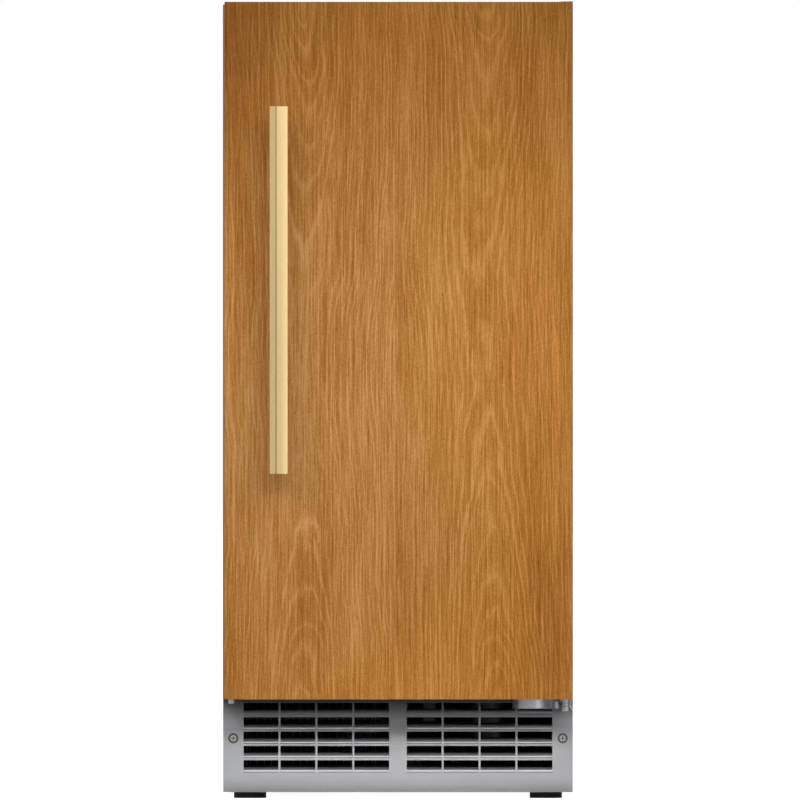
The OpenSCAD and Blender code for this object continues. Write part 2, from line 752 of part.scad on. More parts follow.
// Height at which the evaporator lines meet the back of the bin, on the line of the slope
function evap_line(y) = evap_z + coil_z / cos(tilt) + (y - evap_y) * tan(tilt);
function evap_line_z() = evap_line(riser_line_y);

module on_slope(y, z) {
    translate([0, y, z]) rotate([tilt, 0, 0]) children();
}

module evaporator_plate() color("lightgray") on_slope(evap_y, evap_z) {
    block([-rail_x, 0, 0], [rail_x, evap_l, 1.5]);
    for (x = [-rail_x, rail_x - lip_t]) block([x, 0, 0], [x + lip_t, evap_l, 14]);
    block([-rail_x, evap_l - 1.5, 0], [rail_x, evap_l, 10]);
    translate([0, -3, -2.3]) block([-rail_x, 0, 0], [rail_x, 3.5, 1.5]);
    translate([0, -0.6, -2.3]) block([-rail_x, 0, 0], [rail_x, 1.1, 3.8]);
}

module evaporator_coil() color("peru") on_slope(evap_y, evap_z) translate([0, 0, coil_z]) {
    for (i = [0 : coil_runs - 1]) {
        last = i == 0 || i == coil_runs - 1;
        stretch([coil_x(i), coil_u0 - 1.5, 0], [coil_x(i), last ? coil_end : coil_u1 + 1.5, 0], coil_d / 2);
    }
    for (i = [0 : 2 : coil_runs - 2])
        translate([(coil_x(i) + coil_x(i + 1)) / 2, coil_u0, 0]) rotate([0, 0, 180])
            return_bend(coil_pitch / 2, coil_d / 2);
    for (i = [1 : 2 : coil_runs - 2])
        translate([(coil_x(i) + coil_x(i + 1)) / 2, coil_u1, 0]) return_bend(coil_pitch / 2, coil_d / 2);
}

module evaporator_rails() color("white") on_slope(evap_y, evap_z) {
    for (s = [0, 1]) mirror([s, 0, 0]) difference() {
        union() {
            translate([rail_x, 0, 0]) across(0, rail_t) polygon([
                [-8, -14], [evap_l + 6, -14], [evap_l + 6, 34], [evap_l - 26, 34], [evap_l - 40, 20], [-2, 20], [-8, 12]
            ]);
            for (u = [24, evap_l - 50])
                block([rail_x + rail_t - eps, u, -8], [bin_x, u + 16, -3]);
        }
        translate([rail_x - cut, dist_u, dist_z]) rotate([0, 90, 0]) cylinder(h = 9, r = hose_r + 0.1, $fn = 32);
    }
}

module water_distributor() color("ghostwhite") on_slope(evap_y, evap_z) translate([0, dist_u, dist_z]) {
    difference() {
        translate([-rail_x, 0, 0]) rotate([0, 90, 0]) cylinder(h = 2 * rail_x, r = dist_d / 2, $fn = 48);
        translate([-rail_x + 3, 0, 0]) rotate([0, 90, 0]) cylinder(h = 2 * rail_x - 6, r = dist_d / 2 - 1.5, $fn = 48);
        for (i = [-5 : 5]) translate([i * (evap_w - 30) / 10, 0, -dist_d]) rotate([15, 0, 0])
            cylinder(h = dist_d, r = 1.2, $fn = 16);
    }
    translate([rail_x - eps, 0, 0]) rotate([0, 90, 0]) difference() {
        cylinder(h = rail_t + 1.5 + eps, r = hose_r, $fn = 32);
        translate([0, 0, -3]) cylinder(h = rail_t + 8, r = hose_r - 1.5, $fn = 32);
    }
    // Plug that closes the far end
    translate([-rail_x - rail_t - 1, 0, 0]) rotate([0, 90, 0]) cylinder(h = rail_t + 1 + eps, r = hose_r, $fn = 32);
}

module water_pan() color("whitesmoke") difference() {
    union() {
        block([-pan_x, pan_y0, pan_z0], [pan_x, pan_y1, pan_z1]);
        block([-pan_x, pan_y0, pan_z1 - eps], [pan_x, pan_y0 + pan_wall, pan_z1 + 14]);
        block([-bin_x + 3, pan_y0 + 8, pan_z1 - 4], [bin_x - 3, pan_y1, pan_z1]);
        block([pump_x - pump_r - 22, pump_y - pump_r - 5, volute_z - 4],
              [pan_x, pan_y1, pan_z0 + eps]);
    }
    across(-pan_x + pan_wall, pan_x - pan_wall) polygon([
        [pan_y0 + pan_wall, pan_z0 + 8], [pan_y1 - pan_wall, pan_z0 + pan_wall],
        [pan_y1 - pan_wall, pan_z1 + cut], [pan_y0 + pan_wall, pan_z1 + cut]
    ]);
    block([pump_x - pump_r - 22 + pan_wall, pump_y - pump_r - 5 + pan_wall, volute_z - 4 + pan_wall],
          [pan_x - pan_wall, pan_y1 - pan_wall, pan_z0 + 10]);
}

module cutter_frame() color("whitesmoke") on_slope(cut_y, cut_z) {
    inner = evap_w / 2;
    difference() {
        union() {
            block([-bin_x, 0, 0], [bin_x, cut_l, 4]);
            block([-inner - 8, 0, 0], [inner + 8, cut_l, 16]);
        }
        block([-inner, 12, -cut], [inner, cut_l - 8, 17]);
    }
    // Thumb screws that let the grid lift out for cleaning
    for (s = [-1, 1], u = [30, cut_l - 30]) translate([s * (bin_x - 9), u, 0]) {
        translate([0, 0, 4 - eps]) cylinder(h = 2 + eps, r = 4, $fn = 32);
        translate([0, 0, 5.5]) cylinder(h = 6, r = 6.5, $fn = 10);
    }
}

module cutter_wires() color("silver") on_slope(cut_y, cut_z) {
    inner = evap_w / 2;
    along = cut_l - 20;
    for (i = [1 : wires_along])
        translate([-inner + i * evap_w / (wires_along + 1), 12, 6]) rotate([-90, 0, 0])
            cylinder(h = along, r = wire_d / 2, $fn = 16);
    for (i = [1 : wires_across])
        translate([-inner, 12 + i * along / (wires_across + 1), 10]) rotate([0, 90, 0])
            cylinder(h = evap_w, r = wire_d / 2, $fn = 16);
}

// ---------- Circulation pump ----------

motor_z0 = pan_z1 + 12;
motor_h = 52;

module pump_motor() color("whitesmoke") translate([pump_x, pump_y, 0]) {
    difference() {
        union() {
            translate([0, 0, motor_z0]) cylinder(h = motor_h, r = pump_r, $fn = 64);
            translate([0, 0, motor_z0 + motor_h - eps]) cylinder(h = 6 + eps, r = 8, $fn = 32);
            for (a = [0 : 15 : 359]) rotate([0, 0, a]) block([pump_r - 1, -0.8, motor_z0 + 6], [pump_r + 1, 0.8, motor_z0 + motor_h - 10]);
            // Mounting bridge across the rim of the pan
            block([-pump_out - 9, -pump_r, motor_z0 - 4], [pan_x - pump_x, pump_r, motor_z0 + eps]);
            for (x = [-pump_out - 9, pan_x - pump_x - 3])
                block([x, -pump_r, pan_z1], [x + 3, pump_r, motor_z0]);
            translate([0, 0, volute_z]) cylinder(h = motor_z0 - 4 - volute_z + eps, r = 9, $fn = 32);
            translate([0, 0, volute_z]) cylinder(h = 20, r = pump_r, $fn = 64);
            translate([-pump_out, 0, volute_z + 4]) cylinder(h = 12, r = hose_r + 2, $fn = 32);
            block([-pump_out, -hose_r - 2, volute_z + 4], [0, hose_r + 2, volute_z + 16]);
            translate([-pump_out, 0, volute_z + 15]) cylinder(h = 10, r = hose_r, $fn = 32);
        }
        translate([0, 0, volute_z + 3]) cylinder(h = 14, r = pump_r - 2.5, $fn = 64);
        translate([0, 0, volute_z - cut]) cylinder(h = 6, r = 8, $fn = 32);
        translate([0, 0, volute_z]) cylinder(h = motor_z0 - volute_z + 24, r = 2 + fit, $fn = 32);
        translate([-pump_out, 0, volute_z + 10]) cylinder(h = 20, r = hose_r - 1.5, $fn = 32);
        translate([-pump_out, 0, volute_z + 10]) rotate([0, 90, 0]) cylinder(h = 15, r = 3.5, $fn = 32);
        translate([-pump_out, 0, motor_z0 - 5]) cylinder(h = 6, r = hose_r + 1, $fn = 32);
    }
}

module pump_impeller() color("dimgray") translate([pump_x, pump_y, volute_z]) {
    cylinder(h = motor_z0 - volute_z + 20, r = 2, $fn = 32);
    translate([0, 0, 13]) cylinder(h = 2, r = pump_r - 4.5, $fn = 64);
    translate([0, 0, 5]) cylinder(h = 8 + eps, r = 5, $fn = 32);
    for (a = [0 : 60 : 359]) rotate([0, 0, a]) block([2.5, -0.8, 6], [pump_r - 5, 0.8, 13 + eps]);
}

module pump_hose() color("aliceblue") {
    x0 = pump_x - pump_out;
    x1 = bin_x - hose_r - 1.2;
    // Middle of the distributor's spigot, on the slope
    sy = evap_y + dist_u * cos(tilt) - dist_z * sin(tilt);
    sz = evap_z + dist_u * sin(tilt) + dist_z * cos(tilt);
    pipe([[x0, pump_y, volute_z + 25], [x0, pump_y, sz - 42], [x1, pump_y, sz - 24], [x1, sy, sz],
          [rail_x + rail_t + 1.5, sy, sz]], hose_r, 7.5);
}

// ---------- Bin fittings ----------

drain_y = y_cf + low_floor_d * 0.7;

module bin_drain() color("white") translate([0, drain_y, 0]) difference() {
    union() {
        translate([0, 0, bin_floor]) cylinder(h = 2, r = 24, $fn = 64);
        translate([0, 0, plinth_h - 16]) cylinder(h = bin_floor - plinth_h + 17, r = 11, $fn = 48);
        translate([0, 0, plinth_h - 6]) cylinder(h = 6, r = 18, $fn = 6);
    }
    translate([0, 0, plinth_h - 17]) cylinder(h = bin_floor - plinth_h + 15, r = 8, $fn = 48);
    translate([0, 0, bin_floor - 3]) for (a = [0 : 60 : 359]) rotate([0, 0, a]) {
        translate([5.5, 0, 0]) cylinder(h = 6, r = 1.8, $fn = 16);
    }
}

module drain_hose() color("lightgray") {
    pipe([[0, drain_y, plinth_h - 16], [0, drain_y, drain_z + 24], [drain_x, drain_y + 60, drain_z],
          [drain_x, recess_y - 8, drain_z]], drain_hose_r, 22);
}

module drain_outlet() color("white") translate([drain_x, 0, drain_z]) rotate([-90, 0, 0]) difference() {
    union() {
        translate([0, 0, recess_y - 8]) cylinder(h = 8, r = 11, $fn = 48);
        translate([0, 0, recess_y - 8]) cylinder(h = 8 + collar_h, r = drain_d / 2 + collar_w, $fn = 48);
        translate([0, 0, recess_y - 8]) cylinder(h = 8 + spigot_l, r = drain_d / 2, $fn = 48);
    }
    translate([0, 0, recess_y - 9]) cylinder(h = 16 + spigot_l, r = drain_d / 2 - 2.5, $fn = 48);
}

module bin_thermistor() color("gray") {
    y = y_cf + 150;
    z = step_z + 90;
    translate([bin_x - 6, y, z]) cylinder(h = 56, r = 3, $fn = 32);
    translate([bin_x - 6, y, z + 56]) sphere(r = 3, $fn = 32);
    for (dz = [8, 40]) block([bin_x - 9.5, y - 5, z + dz], [bin_x, y + 5, z + dz + 8]);
}

// The scoop hangs by its handle on the peg of the left wall
scoop_y = y_cf + 62;
scoop_z = evap_z - 128;
scoop_r = 36;

module ice_scoop() color("lightsteelblue") translate([-bin_x + 2.5 + gap, scoop_y, scoop_z]) {
    top = -118;
    len = 112;
    difference() {
        union() {
            rotate([90, 0, 90]) linear_extrude(9) {
                round_rect(-13, top - 4, 13, 16, 12);
            }
            translate([scoop_r, 0, top - len]) cylinder(h = len, r = scoop_r, $fn = 96);
        }
        translate([scoop_r, 0, top - len - cut]) cylinder(h = len - 2, r = scoop_r - 2.5, $fn = 96);
        block([scoop_r + 6, -60, top - len - cut], [2 * scoop_r + 6, 60, top + cut]);
        translate([0, 0, top - len]) rotate([0, -28, 0]) block([-10, -60, -60], [120, 60, 0]);
        rotate([0, 90, 0]) translate([0, 0, -cut]) cylinder(h = 12, r = 4 + gap, $fn = 48);
        for (z = [-92, -72, -52]) translate([9, -30, z]) rotate([-90, 0, 0]) cylinder(h = 60, r = 3, $fn = 32);
    }
}

// ---------- Condensing unit ----------

module comp_corners() {
    for (x = [-comp_ear, comp_ear], y = [-comp_ear, comp_ear]) translate([comp_x + x, comp_y + y, 0]) children();
}

module compressor() color("#26282a") {
    r = compressor_d / 2;
    c = r / 2;
    translate([comp_x, comp_y, comp_z]) {
        rotate_extrude($fn = 128) {
            square([r - c, compressor_h]);
            translate([0, c]) square([r, compressor_h - 2 * c]);
            for (z = [c, compressor_h - c]) translate([r - c, z]) circle(r = c, $fn = 64);
        }
        translate([0, 0, compressor_h * 0.56]) cylinder(h = 5, r = r + 2, $fn = 128);
        // Terminal cover on the side
        block([-r - 9, -22, compressor_h * 0.3], [-r * 0.8, 22, compressor_h * 0.52]);
        block([-16, -r - 8, compressor_h * 0.62], [16, -r * 0.8, compressor_h * 0.74]);
    }
    difference() {
        translate([comp_x, comp_y, comp_z]) linear_extrude(3)
            round_rect(-comp_ear - ear_margin, -comp_ear - ear_margin,
                       comp_ear + ear_margin, comp_ear + ear_margin, 10);
        comp_corners() translate([0, 0, comp_z - cut]) cylinder(h = 6, r = 4 + thread_gap, $fn = 32);
    }
}

module compressor_mounts() color("#1b1b1b") comp_corners() {
    difference() {
        translate([0, 0, z_pan]) rotate_extrude($fn = 48) {
            square([11, 5]);
            square([8, comp_z - z_pan]);
            translate([0, comp_z - z_pan - 5]) square([11, 5]);
        }
    }
    translate([0, 0, comp_z - eps]) cylinder(h = 5 + eps, r = 4, $fn = 32);
    translate([0, 0, comp_z + 3]) cylinder(h = 3, r = 8, $fn = 32);
    translate([0, 0, comp_z + 5]) cylinder(h = 5, r = 6, $fn = 6);
}

tube_rows = 6;
tube_pitch = 28;
function tube_z(i) = cond_z0 + cond_h / 2 + (i - (tube_rows - 1) / 2) * tube_pitch;
function tube_y(j) = cond_y0 + cond_d * (0.25 + 0.5 * j);

// Outline of a fin or an end plate, with its tube holes
module fin_outline() {
    difference() {
        translate([cond_y0, cond_z0]) square([cond_d, cond_h]);
        for (i = [0 : tube_rows - 1], j = [0, 1]) translate([tube_y(j), tube_z(i)])
            circle(r = coil_d / 2 + fit, $fn = 32);
    }
}

module condenser_fins() color("lightgray") {
    step = (cond_x1 - cond_x0 - 8) / (fin_count - 1);
    for (i = [0 : fin_count - 1]) translate([cond_x0 + 4 + i * step, 0, 0]) across(-0.3, 0.3) fin_outline();
    for (x = [cond_x0, cond_x1 - 1.5]) translate([x, 0, 0]) {
        across(0, 1.5) fin_outline();
        block([x > fan_x ? -10 : 0, cond_y0, cond_z0], [x > fan_x ? 1.5 : 11.5, cond_y0 + cond_d, cond_z0 + 1.5]);
    }
}

module condenser_tubes() color("peru") {
    x0 = cond_x0 - 2;
    x1 = cond_x1 + 2;
    for (i = [0 : tube_rows - 1], j = [0, 1])
        stretch([x0, tube_y(j), tube_z(i)], [x1, tube_y(j), tube_z(i)], coil_d / 2);
    // Bend that joins the two rows at their foot
    translate([x1 - 1, (tube_y(0) + tube_y(1)) / 2, tube_z(0)])
        multmatrix([[0, 1, 0, 0], [1, 0, 0, 0], [0, 0, -1, 0], [0, 0, 0, 1]])
        return_bend((tube_y(1) - tube_y(0)) / 2, coil_d / 2);
    // Return bends up each row
    for (j = [0, 1], i = [0 : tube_rows - 2]) {
        out = i % 2 == 1 ? 1 : -1;
        translate([out > 0 ? x1 - 1 : x0 + 1, tube_y(j), (tube_z(i) + tube_z(i + 1)) / 2])
            multmatrix([[0, out, 0, 0], [0, 0, out, 0], [1, 0, 0, 0], [0, 0, 0, 1]])
            return_bend(tube_pitch / 2, coil_d / 2);
    }
}

module fan_shroud() color("#2b2d2f") {
    ring = fan_d / 2 + 3;
    difference() {
        union() {
            block([cond_x0, fan_y, cond_z0], [cond_x1, fan_y + 6, cond_z0 + cond_h]);
            translate([fan_x, fan_y + 4, fan_z]) rotate([-90, 0, 0]) cylinder(h = 18, r = ring + 2, $fn = 96);
        }
        block([cond_x0 + 2, fan_y - cut, cond_z0 + 2], [cond_x1 - 2, fan_y + 4, cond_z0 + cond_h - 2]);
        translate([fan_x, fan_y - cut, fan_z]) rotate([-90, 0, 0]) cylinder(h = 30, r = ring, $fn = 96);
    }
    // Spider that carries the motor behind the fan
    for (a = [45 : 90 : 359]) translate([fan_x, 0, fan_z]) rotate([0, a, 0]) {
        block([ring + 0.5, fan_y + 20, -4], [ring + 5, fan_y + 42, 4]);
        block([22, fan_y + 38, -4], [ring + 5, fan_y + 42, 4]);
    }
    translate([fan_x, fan_y + 38, fan_z]) rotate([-90, 0, 0]) difference() {
        cylinder(h = 4, r = 27, $fn = 64);
        translate([0, 0, -cut]) cylinder(h = 6, r = 12, $fn = 48);
    }
}

module fan_motor() color("slategray") translate([fan_x, fan_y + 42, fan_z]) rotate([-90, 0, 0]) difference() {
    union() {
        cylinder(h = 34, r = 27, $fn = 64);
        translate([0, 0, 34 - eps]) cylinder(h = 6 + eps, r = 22, $fn = 64);
        translate([0, 0, -6]) cylinder(h = 6 + eps, r = 9, $fn = 48);
        for (a = [0 : 20 : 359]) rotate([0, 0, a]) block([26, -1, 5], [28.5, 1, 29]);
    }
    translate([0, 0, -7]) cylinder(h = 30, r = shaft_d / 2 + fit, $fn = 32);
}

// One cambered blade: a curved sheet, pitched and trimmed by the tip circle
module fan_vane() {
    camber = 60;
    chord = fan_d * 0.36;
    rotate([0, 90, 0]) linear_extrude(fan_d / 2) rotate(90 + fan_pitch) translate([0, -camber + 1.8]) intersection() {
        difference() {
            circle(r = camber, $fn = 96);
            circle(r = camber - 1.6, $fn = 96);
        }
        translate([-chord / 2, camber * 0.7]) square([chord, camber]);
    }
}

module fan_blade() color("#3a3d40") translate([fan_x, fan_y + 21, fan_z]) rotate([-90, 0, 0]) {
    intersection() {
        for (i = [0 : fan_blades - 1]) rotate([0, 0, i * 360 / fan_blades]) fan_vane();
        translate([0, 0, -13]) difference() {
            cylinder(h = 25, r = fan_d / 2, $fn = 96);
            translate([0, 0, -cut]) cylinder(h = 27, r = fan_d * 0.12, $fn = 64);
        }
    }
    translate([0, 0, -9]) difference() {
        cylinder(h = 20, r = fan_d * 0.13, $fn = 64);
        translate([0, 0, -cut]) cylinder(h = 6, r = fan_d * 0.09, $fn = 64);
    }
    translate([0, 0, -7]) cylinder(h = 38, r = shaft_d / 2, $fn = 32);
}

drier_z0 = z_pan + 60;
drier_l = 110;

module filter_drier() color("peru") translate([drier_x, drier_y, drier_z0]) rotate_extrude($fn = 64) polygon([
    [0, 0], [5.5, 0], [6, 8], [11, 16], [11, drier_l - 16], [6, drier_l - 8], [5.5, drier_l], [0, drier_l]
]);

module refrigerant_lines() color("peru") {
    top_z = evap_line_z();
    yr = riser_line_y;
    y_end = evap_y + coil_end * cos(tilt) - coil_z * sin(tilt);
    z_end = evap_z + coil_end * sin(tilt) + coil_z * cos(tilt);
    liquid_z = bulk_z - 24;
    suction_z = bulk_z - 32;
    // Suction, from the evaporator to the top of the compressor
    pipe([[-coil_x(0), y_end, z_end], [-coil_x(0), yr, top_z], [suction_x, yr, top_z], [suction_x, yr, suction_z],
          [suction_x, comp_y, suction_z], [comp_x - 25, comp_y, suction_z], [comp_x - 25, comp_y, comp_top]],
         line_r, bend_r);
    // Liquid, from the drier to the evaporator
    pipe([[coil_x(0), y_end, z_end], [coil_x(0), yr, top_z], [liquid_x, yr, top_z], [liquid_x, yr, liquid_z],
          [liquid_x, drier_y, liquid_z], [drier_x, drier_y, liquid_z], [drier_x, drier_y, drier_z0 + drier_l]],
         line_r, bend_r);
    // Condenser outlet to the drier
    pipe([[cond_x1 + 2, tube_y(1), tube_z(tube_rows - 1)], [drier_x, tube_y(1), tube_z(tube_rows - 1)],
          [drier_x, tube_y(1), drier_z0 - 20], [drier_x, drier_y, drier_z0 - 20], [drier_x, drier_y, drier_z0]],
         line_r, bend_r);
    // Discharge, from the compressor to the condenser inlet
    pipe([[comp_x + 25, comp_y, comp_top], [comp_x + 25, comp_y, gas_z], [comp_x + 25, fan_y + 6, gas_z],
          [drier_x + 12, fan_y + 6, gas_z], [drier_x + 12, tube_y(0), gas_z],
          [drier_x + 12, tube_y(0), tube_z(tube_rows - 1)],
          [cond_x1 + 2, tube_y(0), tube_z(tube_rows - 1)]], line_r, bend_r);
    // Hot gas branch, broken by its valve
    translate([hot_x, fan_y + 6, gas_z]) rotate([0, 90, 0]) translate([0, 0, -9]) cylinder(h = 18, r = line_r + 2, $fn = 32);
    pipe([[hot_x, fan_y + 6, gas_z], [hot_x, hot_y, gas_z]], line_r, bend_r);
    pipe([[hot_x, hot_y + 24, gas_z], [hot_x, yr, gas_z], [liquid_x, yr, gas_z], [liquid_x, yr, liquid_z - 8]],
         line_r, bend_r);
    translate([liquid_x, yr, liquid_z - 12]) cylinder(h = 26, r = line_r + 2, $fn = 32);
}

hot_x = 34;
hot_y = fan_y + 44;

module hot_gas_valve() color("goldenrod") translate([hot_x, hot_y, gas_z]) {
    block([-9, 0, -9], [9, 24, 9]);
    translate([0, 12, 8]) cylinder(h = 12, r = 7, $fn = 32);
    translate([0, 12, 11]) difference() {
        cylinder(h = 26, r = 14, $fn = 48);
        translate([0, 0, 24]) cylinder(h = 3, r = 8, $fn = 32);
    }
}

module water_inlet_valve() color("cornflowerblue") {
    difference() {
        union() {
            block([inlet_x - 32, recess_y - 34, fitting_z - 16], [inlet_x + 16, recess_y, fitting_z + 14]);
            translate([inlet_x, recess_y - 2, fitting_z]) rotate([-90, 0, 0]) {
                cylinder(h = 2 + collar_h, r = inlet_d / 2 + collar_w, $fn = 64);
                cylinder(h = 2 + spigot_l, r = inlet_d / 2, $fn = 64);
            }
            translate([fill_x, recess_y - 16, fitting_z + 14 - eps]) cylinder(h = 8 + eps, r = 5, $fn = 32);
            translate([inlet_x, recess_y - 18, fitting_z + 14 - eps]) cylinder(h = 24, r = 13, $fn = 48);
        }
        translate([inlet_x, recess_y + 4, fitting_z]) rotate([-90, 0, 0]) cylinder(h = 26, r = inlet_d / 2 - 3, $fn = 64);
    }
}

module fill_tube() color("white") {
    y0 = recess_y - 16;
    pipe([[fill_x, y0, fitting_z + 22], [fill_x, y0, bulk_z - 26], [fill_x, riser_line_y, bulk_z + 16],
          [fill_x, riser_line_y, evap_z], [fill_x, bin_back - 16, evap_z], [fill_x, bin_back - 16, pan_z1 + 4]], 3.2, 8);
}

module control_box() color("lightgray") {
    x0 = -xi;
    x1 = -xi + 68;
    y0 = fan_y + 96;
    y1 = y_back - 12;
    z1 = bulk_z - 12;
    difference() {
        block([x0, y0, z1 - 130], [x1, y1, z1]);
        block([x1 - 3, y0 + 3, z1 - 127], [x1 - 1.5, y1 - 3, z1 - 3]);
        for (i = [0 : 6]) block([x1 - 2, y0 + 16 + i * 10, z1 - 40], [x1 + cut, y0 + 20 + i * 10, z1 - 16]);
    }
    for (i = [0, 1]) translate([x0 + 34, y0 + 20 + i * 30, z1 - 132]) cylinder(h = 3, r = 8, $fn = 32);
}

module power_gland() color("#1f1f1f") translate([gland_x, recess_y, fitting_z]) rotate([-90, 0, 0]) difference() {
    union() {
        translate([0, 0, -8]) cylinder(h = 22, r = gland_d / 2 + 3.5, $fn = 48);
        translate([0, 0, sheet_t]) cylinder(h = 5, r = gland_d / 2 + 7, $fn = 6);
        translate([0, 0, -6]) cylinder(h = 6, r = gland_d / 2 + 7, $fn = 6);
        translate([0, 0, 14 - eps]) cylinder(h = 6, r1 = gland_d / 2 + 3.5, r2 = gland_d / 2 + 1.5, $fn = 48);
    }
    translate([0, 0, -10]) cylinder(h = 40, r = gland_d / 2, $fn = 48);
}

// ---------- Door ----------

module door_shell() color("#928a82") difference() {
    block([-xs, y_df, door_z0], [xs - 0.3, y_db, door_z1]);
    block([-xs + sheet_t, y_df + sheet_t, door_z0 + sheet_t], [xs - 0.3 - sheet_t, y_db + cut, door_z1 - sheet_t]);
    for (z = [door_z0 - cut, door_z1 - 2 * cut]) translate([pin_x, pin_y, z]) cylinder(h = 3 * cut, r = bush_d / 2 - 2, $fn = 48);
    translate([plug_x, pin_y, door_z0 - cut]) cylinder(h = 3 * cut, r = 2.5 + thread_gap, $fn = 32);
    for (z = [-post_span / 2, post_span / 2]) translate([-xs + handle_inset, y_df - cut, handle_z + z])
        rotate([-90, 0, 0]) cylinder(h = 4, r = 6, $fn = 32);
}

module door_liner() color("white") {
    x0 = -xs + sheet_t;
    x1 = xs - 0.3 - sheet_t;
    dx = bin_x - dyke_gap;
    dz0 = bin_floor + dyke_gap;
    dz1 = bin_top - dyke_gap;
    difference() {
        union() {
            block([x0, y_db - 2, door_z0 + sheet_t], [x1, y_db, door_z1 - sheet_t]);
            upright(y_db - eps, dyke_h + eps) round_rect(-dx, dz0, dx, dz1, 14);
        }
        upright(y_db - 2 - cut, dyke_h + cut) round_rect(-dx + 2, dz0 + 2, dx - 2, dz1 - 2, 12);
        upright(y_db, dyke_h + cut) round_rect(-dx + 24, dz0 + 24, dx - 24, dz1 - 24, 12);
    }
    upright(y_db - 2, 2) round_rect(-dx + 22, dz0 + 22, dx - 22, dz1 - 22, 14);
    upright(y_db - 2, dyke_h + 2 - eps) difference() {
        round_rect(-dx + 22, dz0 + 22, dx - 22, dz1 - 22, 14);
        round_rect(-dx + 24, dz0 + 24, dx - 24, dz1 - 24, 12);
    }
}

// Hollow bellows of the magnetic gasket, with its magnet strip towards the cabinet
module door_gasket() color("#3b3b3d") difference() {
    upright(y_db, gasket_t - gap) difference() {
        round_rect(-seal_x, seal_z0, seal_x, seal_z1, 6);
        square_ring_hole(gasket_w);
    }
    upright(y_db + 2, 2.5) difference() {
        round_rect(-seal_x - cut, seal_z0 - cut, seal_x + cut, seal_z1 + cut, 6);
        round_rect(-seal_x + 2, seal_z0 + 2, seal_x - 2, seal_z1 - 2, 4);
    }
    upright(y_db + 2, 3.5) difference() {
        round_rect(-seal_x + 4, seal_z0 + 4, seal_x - 4, seal_z1 - 4, 4);
        square_ring_hole(gasket_w - 2);
    }
}

module square_ring_hole(w) {
    round_rect(-seal_x + w, seal_z0 + w, seal_x - w, seal_z1 - w, 4);
}

module overlay_panel() color("peru") difference() {
    block([panel_x0, y_pf, panel_z0], [panel_x1, y_df, panel_z1]);
    post_places(handle_x, y_pf - cut) {
        cylinder(h = panel_t + 2 * cut, r = 2.5 + thread_gap, $fn = 32);
        translate([0, 0, panel_t - 3 + cut]) cylinder(h = 4, r = 5.5, $fn = 32);
    }
}

handle_x = -xs + handle_inset;

module post_places(x, y) {
    for (z = [-post_span / 2, post_span / 2]) translate([x, y, handle_z + z]) rotate([-90, 0, 0]) children();
}

module handle_bar() color("#d6b47d") difference() {
    w = handle_w;
    flat = 6;
    groove = 1.5;
    crown = 57;
    face = w - flat - groove;
    step = 1.2;
    lean = flat * tan(9);
    translate([handle_x - w / 2, y_hf, handle_z - handle_l / 2]) linear_extrude(handle_l) {
        // Main face, slightly crowned
        intersection() {
            round_rect(flat + groove, 0, w, grip_d, 0.8);
            translate([flat + groove + face / 2, crown]) circle(r = crown, $fn = 360);
        }
        translate([flat - eps, 3.5]) square([groove + 2 * eps, grip_d - 3.5 - 4]);
        polygon([[0, step + lean], [flat, step], [flat, grip_d - 4], [0, grip_d - 4]]);
    }
    post_places(handle_x + 3, y_hf + grip_d - 6) cylinder(h = 7, r = 2.5 + thread_gap, $fn = 32);
}

module handle_posts() color("#c9a66b") {
    post_places(handle_x + 3, y_hf + grip_d - 5) cylinder(h = 6, r = 2.5, $fn = 32);
    post_places(handle_x + 3, y_hf + grip_d) cylinder(h = handle_proj - grip_d, r = post_d / 2, $fn = 48);
    post_places(handle_x, y_pf - eps) cylinder(h = panel_t - 3 + 2 * eps, r = 2.5, $fn = 32);
    post_places(handle_x, y_df - 3) cylinder(h = 2.8, r = 5, $fn = 32);
}

module door_bushings() color("whitesmoke") translate([pin_x, pin_y, 0]) {
    for (s = [0, 1]) translate([0, 0, s * (door_z0 + door_z1)]) mirror([0, 0, s]) difference() {
        union() {
            translate([0, 0, door_z0 - 0.4]) cylinder(h = 0.4, r = pin_inset - 1, $fn = 48);
            translate([0, 0, door_z0 - 0.4]) cylinder(h = 18, r = bush_d / 2 - 2.2, $fn = 48);
            translate([0, 0, door_z0 + sheet_t]) cylinder(h = 15, r = bush_d / 2 - 1.6, $fn = 48);
        }
        translate([0, 0, door_z0 - cut]) cylinder(h = 17, r = pin_d / 2 + fit, $fn = 48);
    }
}

module hinge_hole_plug() color("silver") translate([plug_x, pin_y, door_z0]) difference() {
    union() {
        translate([0, 0, -plug_h]) cylinder(h = plug_h, r = 4, $fn = 48);
        translate([0, 0, -cut]) cylinder(h = 9, r = 2.5, $fn = 32);
    }
    translate([0, 0, -plug_h - cut]) cylinder(h = 3, r = 2, $fn = 6);
}

// ---------- Feet ----------

module foot(x, y) {
    bevel = 0.4;
    translate([x, y, 0]) {
        rotate_extrude($fn = 72) polygon([
            [0, 0], [foot_d / 2 - bevel, 0], [foot_d / 2, bevel],
            [foot_d / 2, pad_h - bevel], [foot_d / 2 - bevel, pad_h], [0, pad_h]
        ]);
        translate([0, 0, pad_h - eps]) cylinder(h = nut_h + 6, r = stud_d / 2, $fn = 48);
    }
}

module foot_front_left() color("#202020") foot(-xs + foot_inset, foot_y[0]);
module foot_front_right() color("#202020") foot(xs - foot_inset, foot_y[0]);
module foot_rear_left() color("#202020") foot(-xs + foot_inset, foot_y[1]);
module foot_rear_right() color("#202020") foot(xs - foot_inset, foot_y[1]);

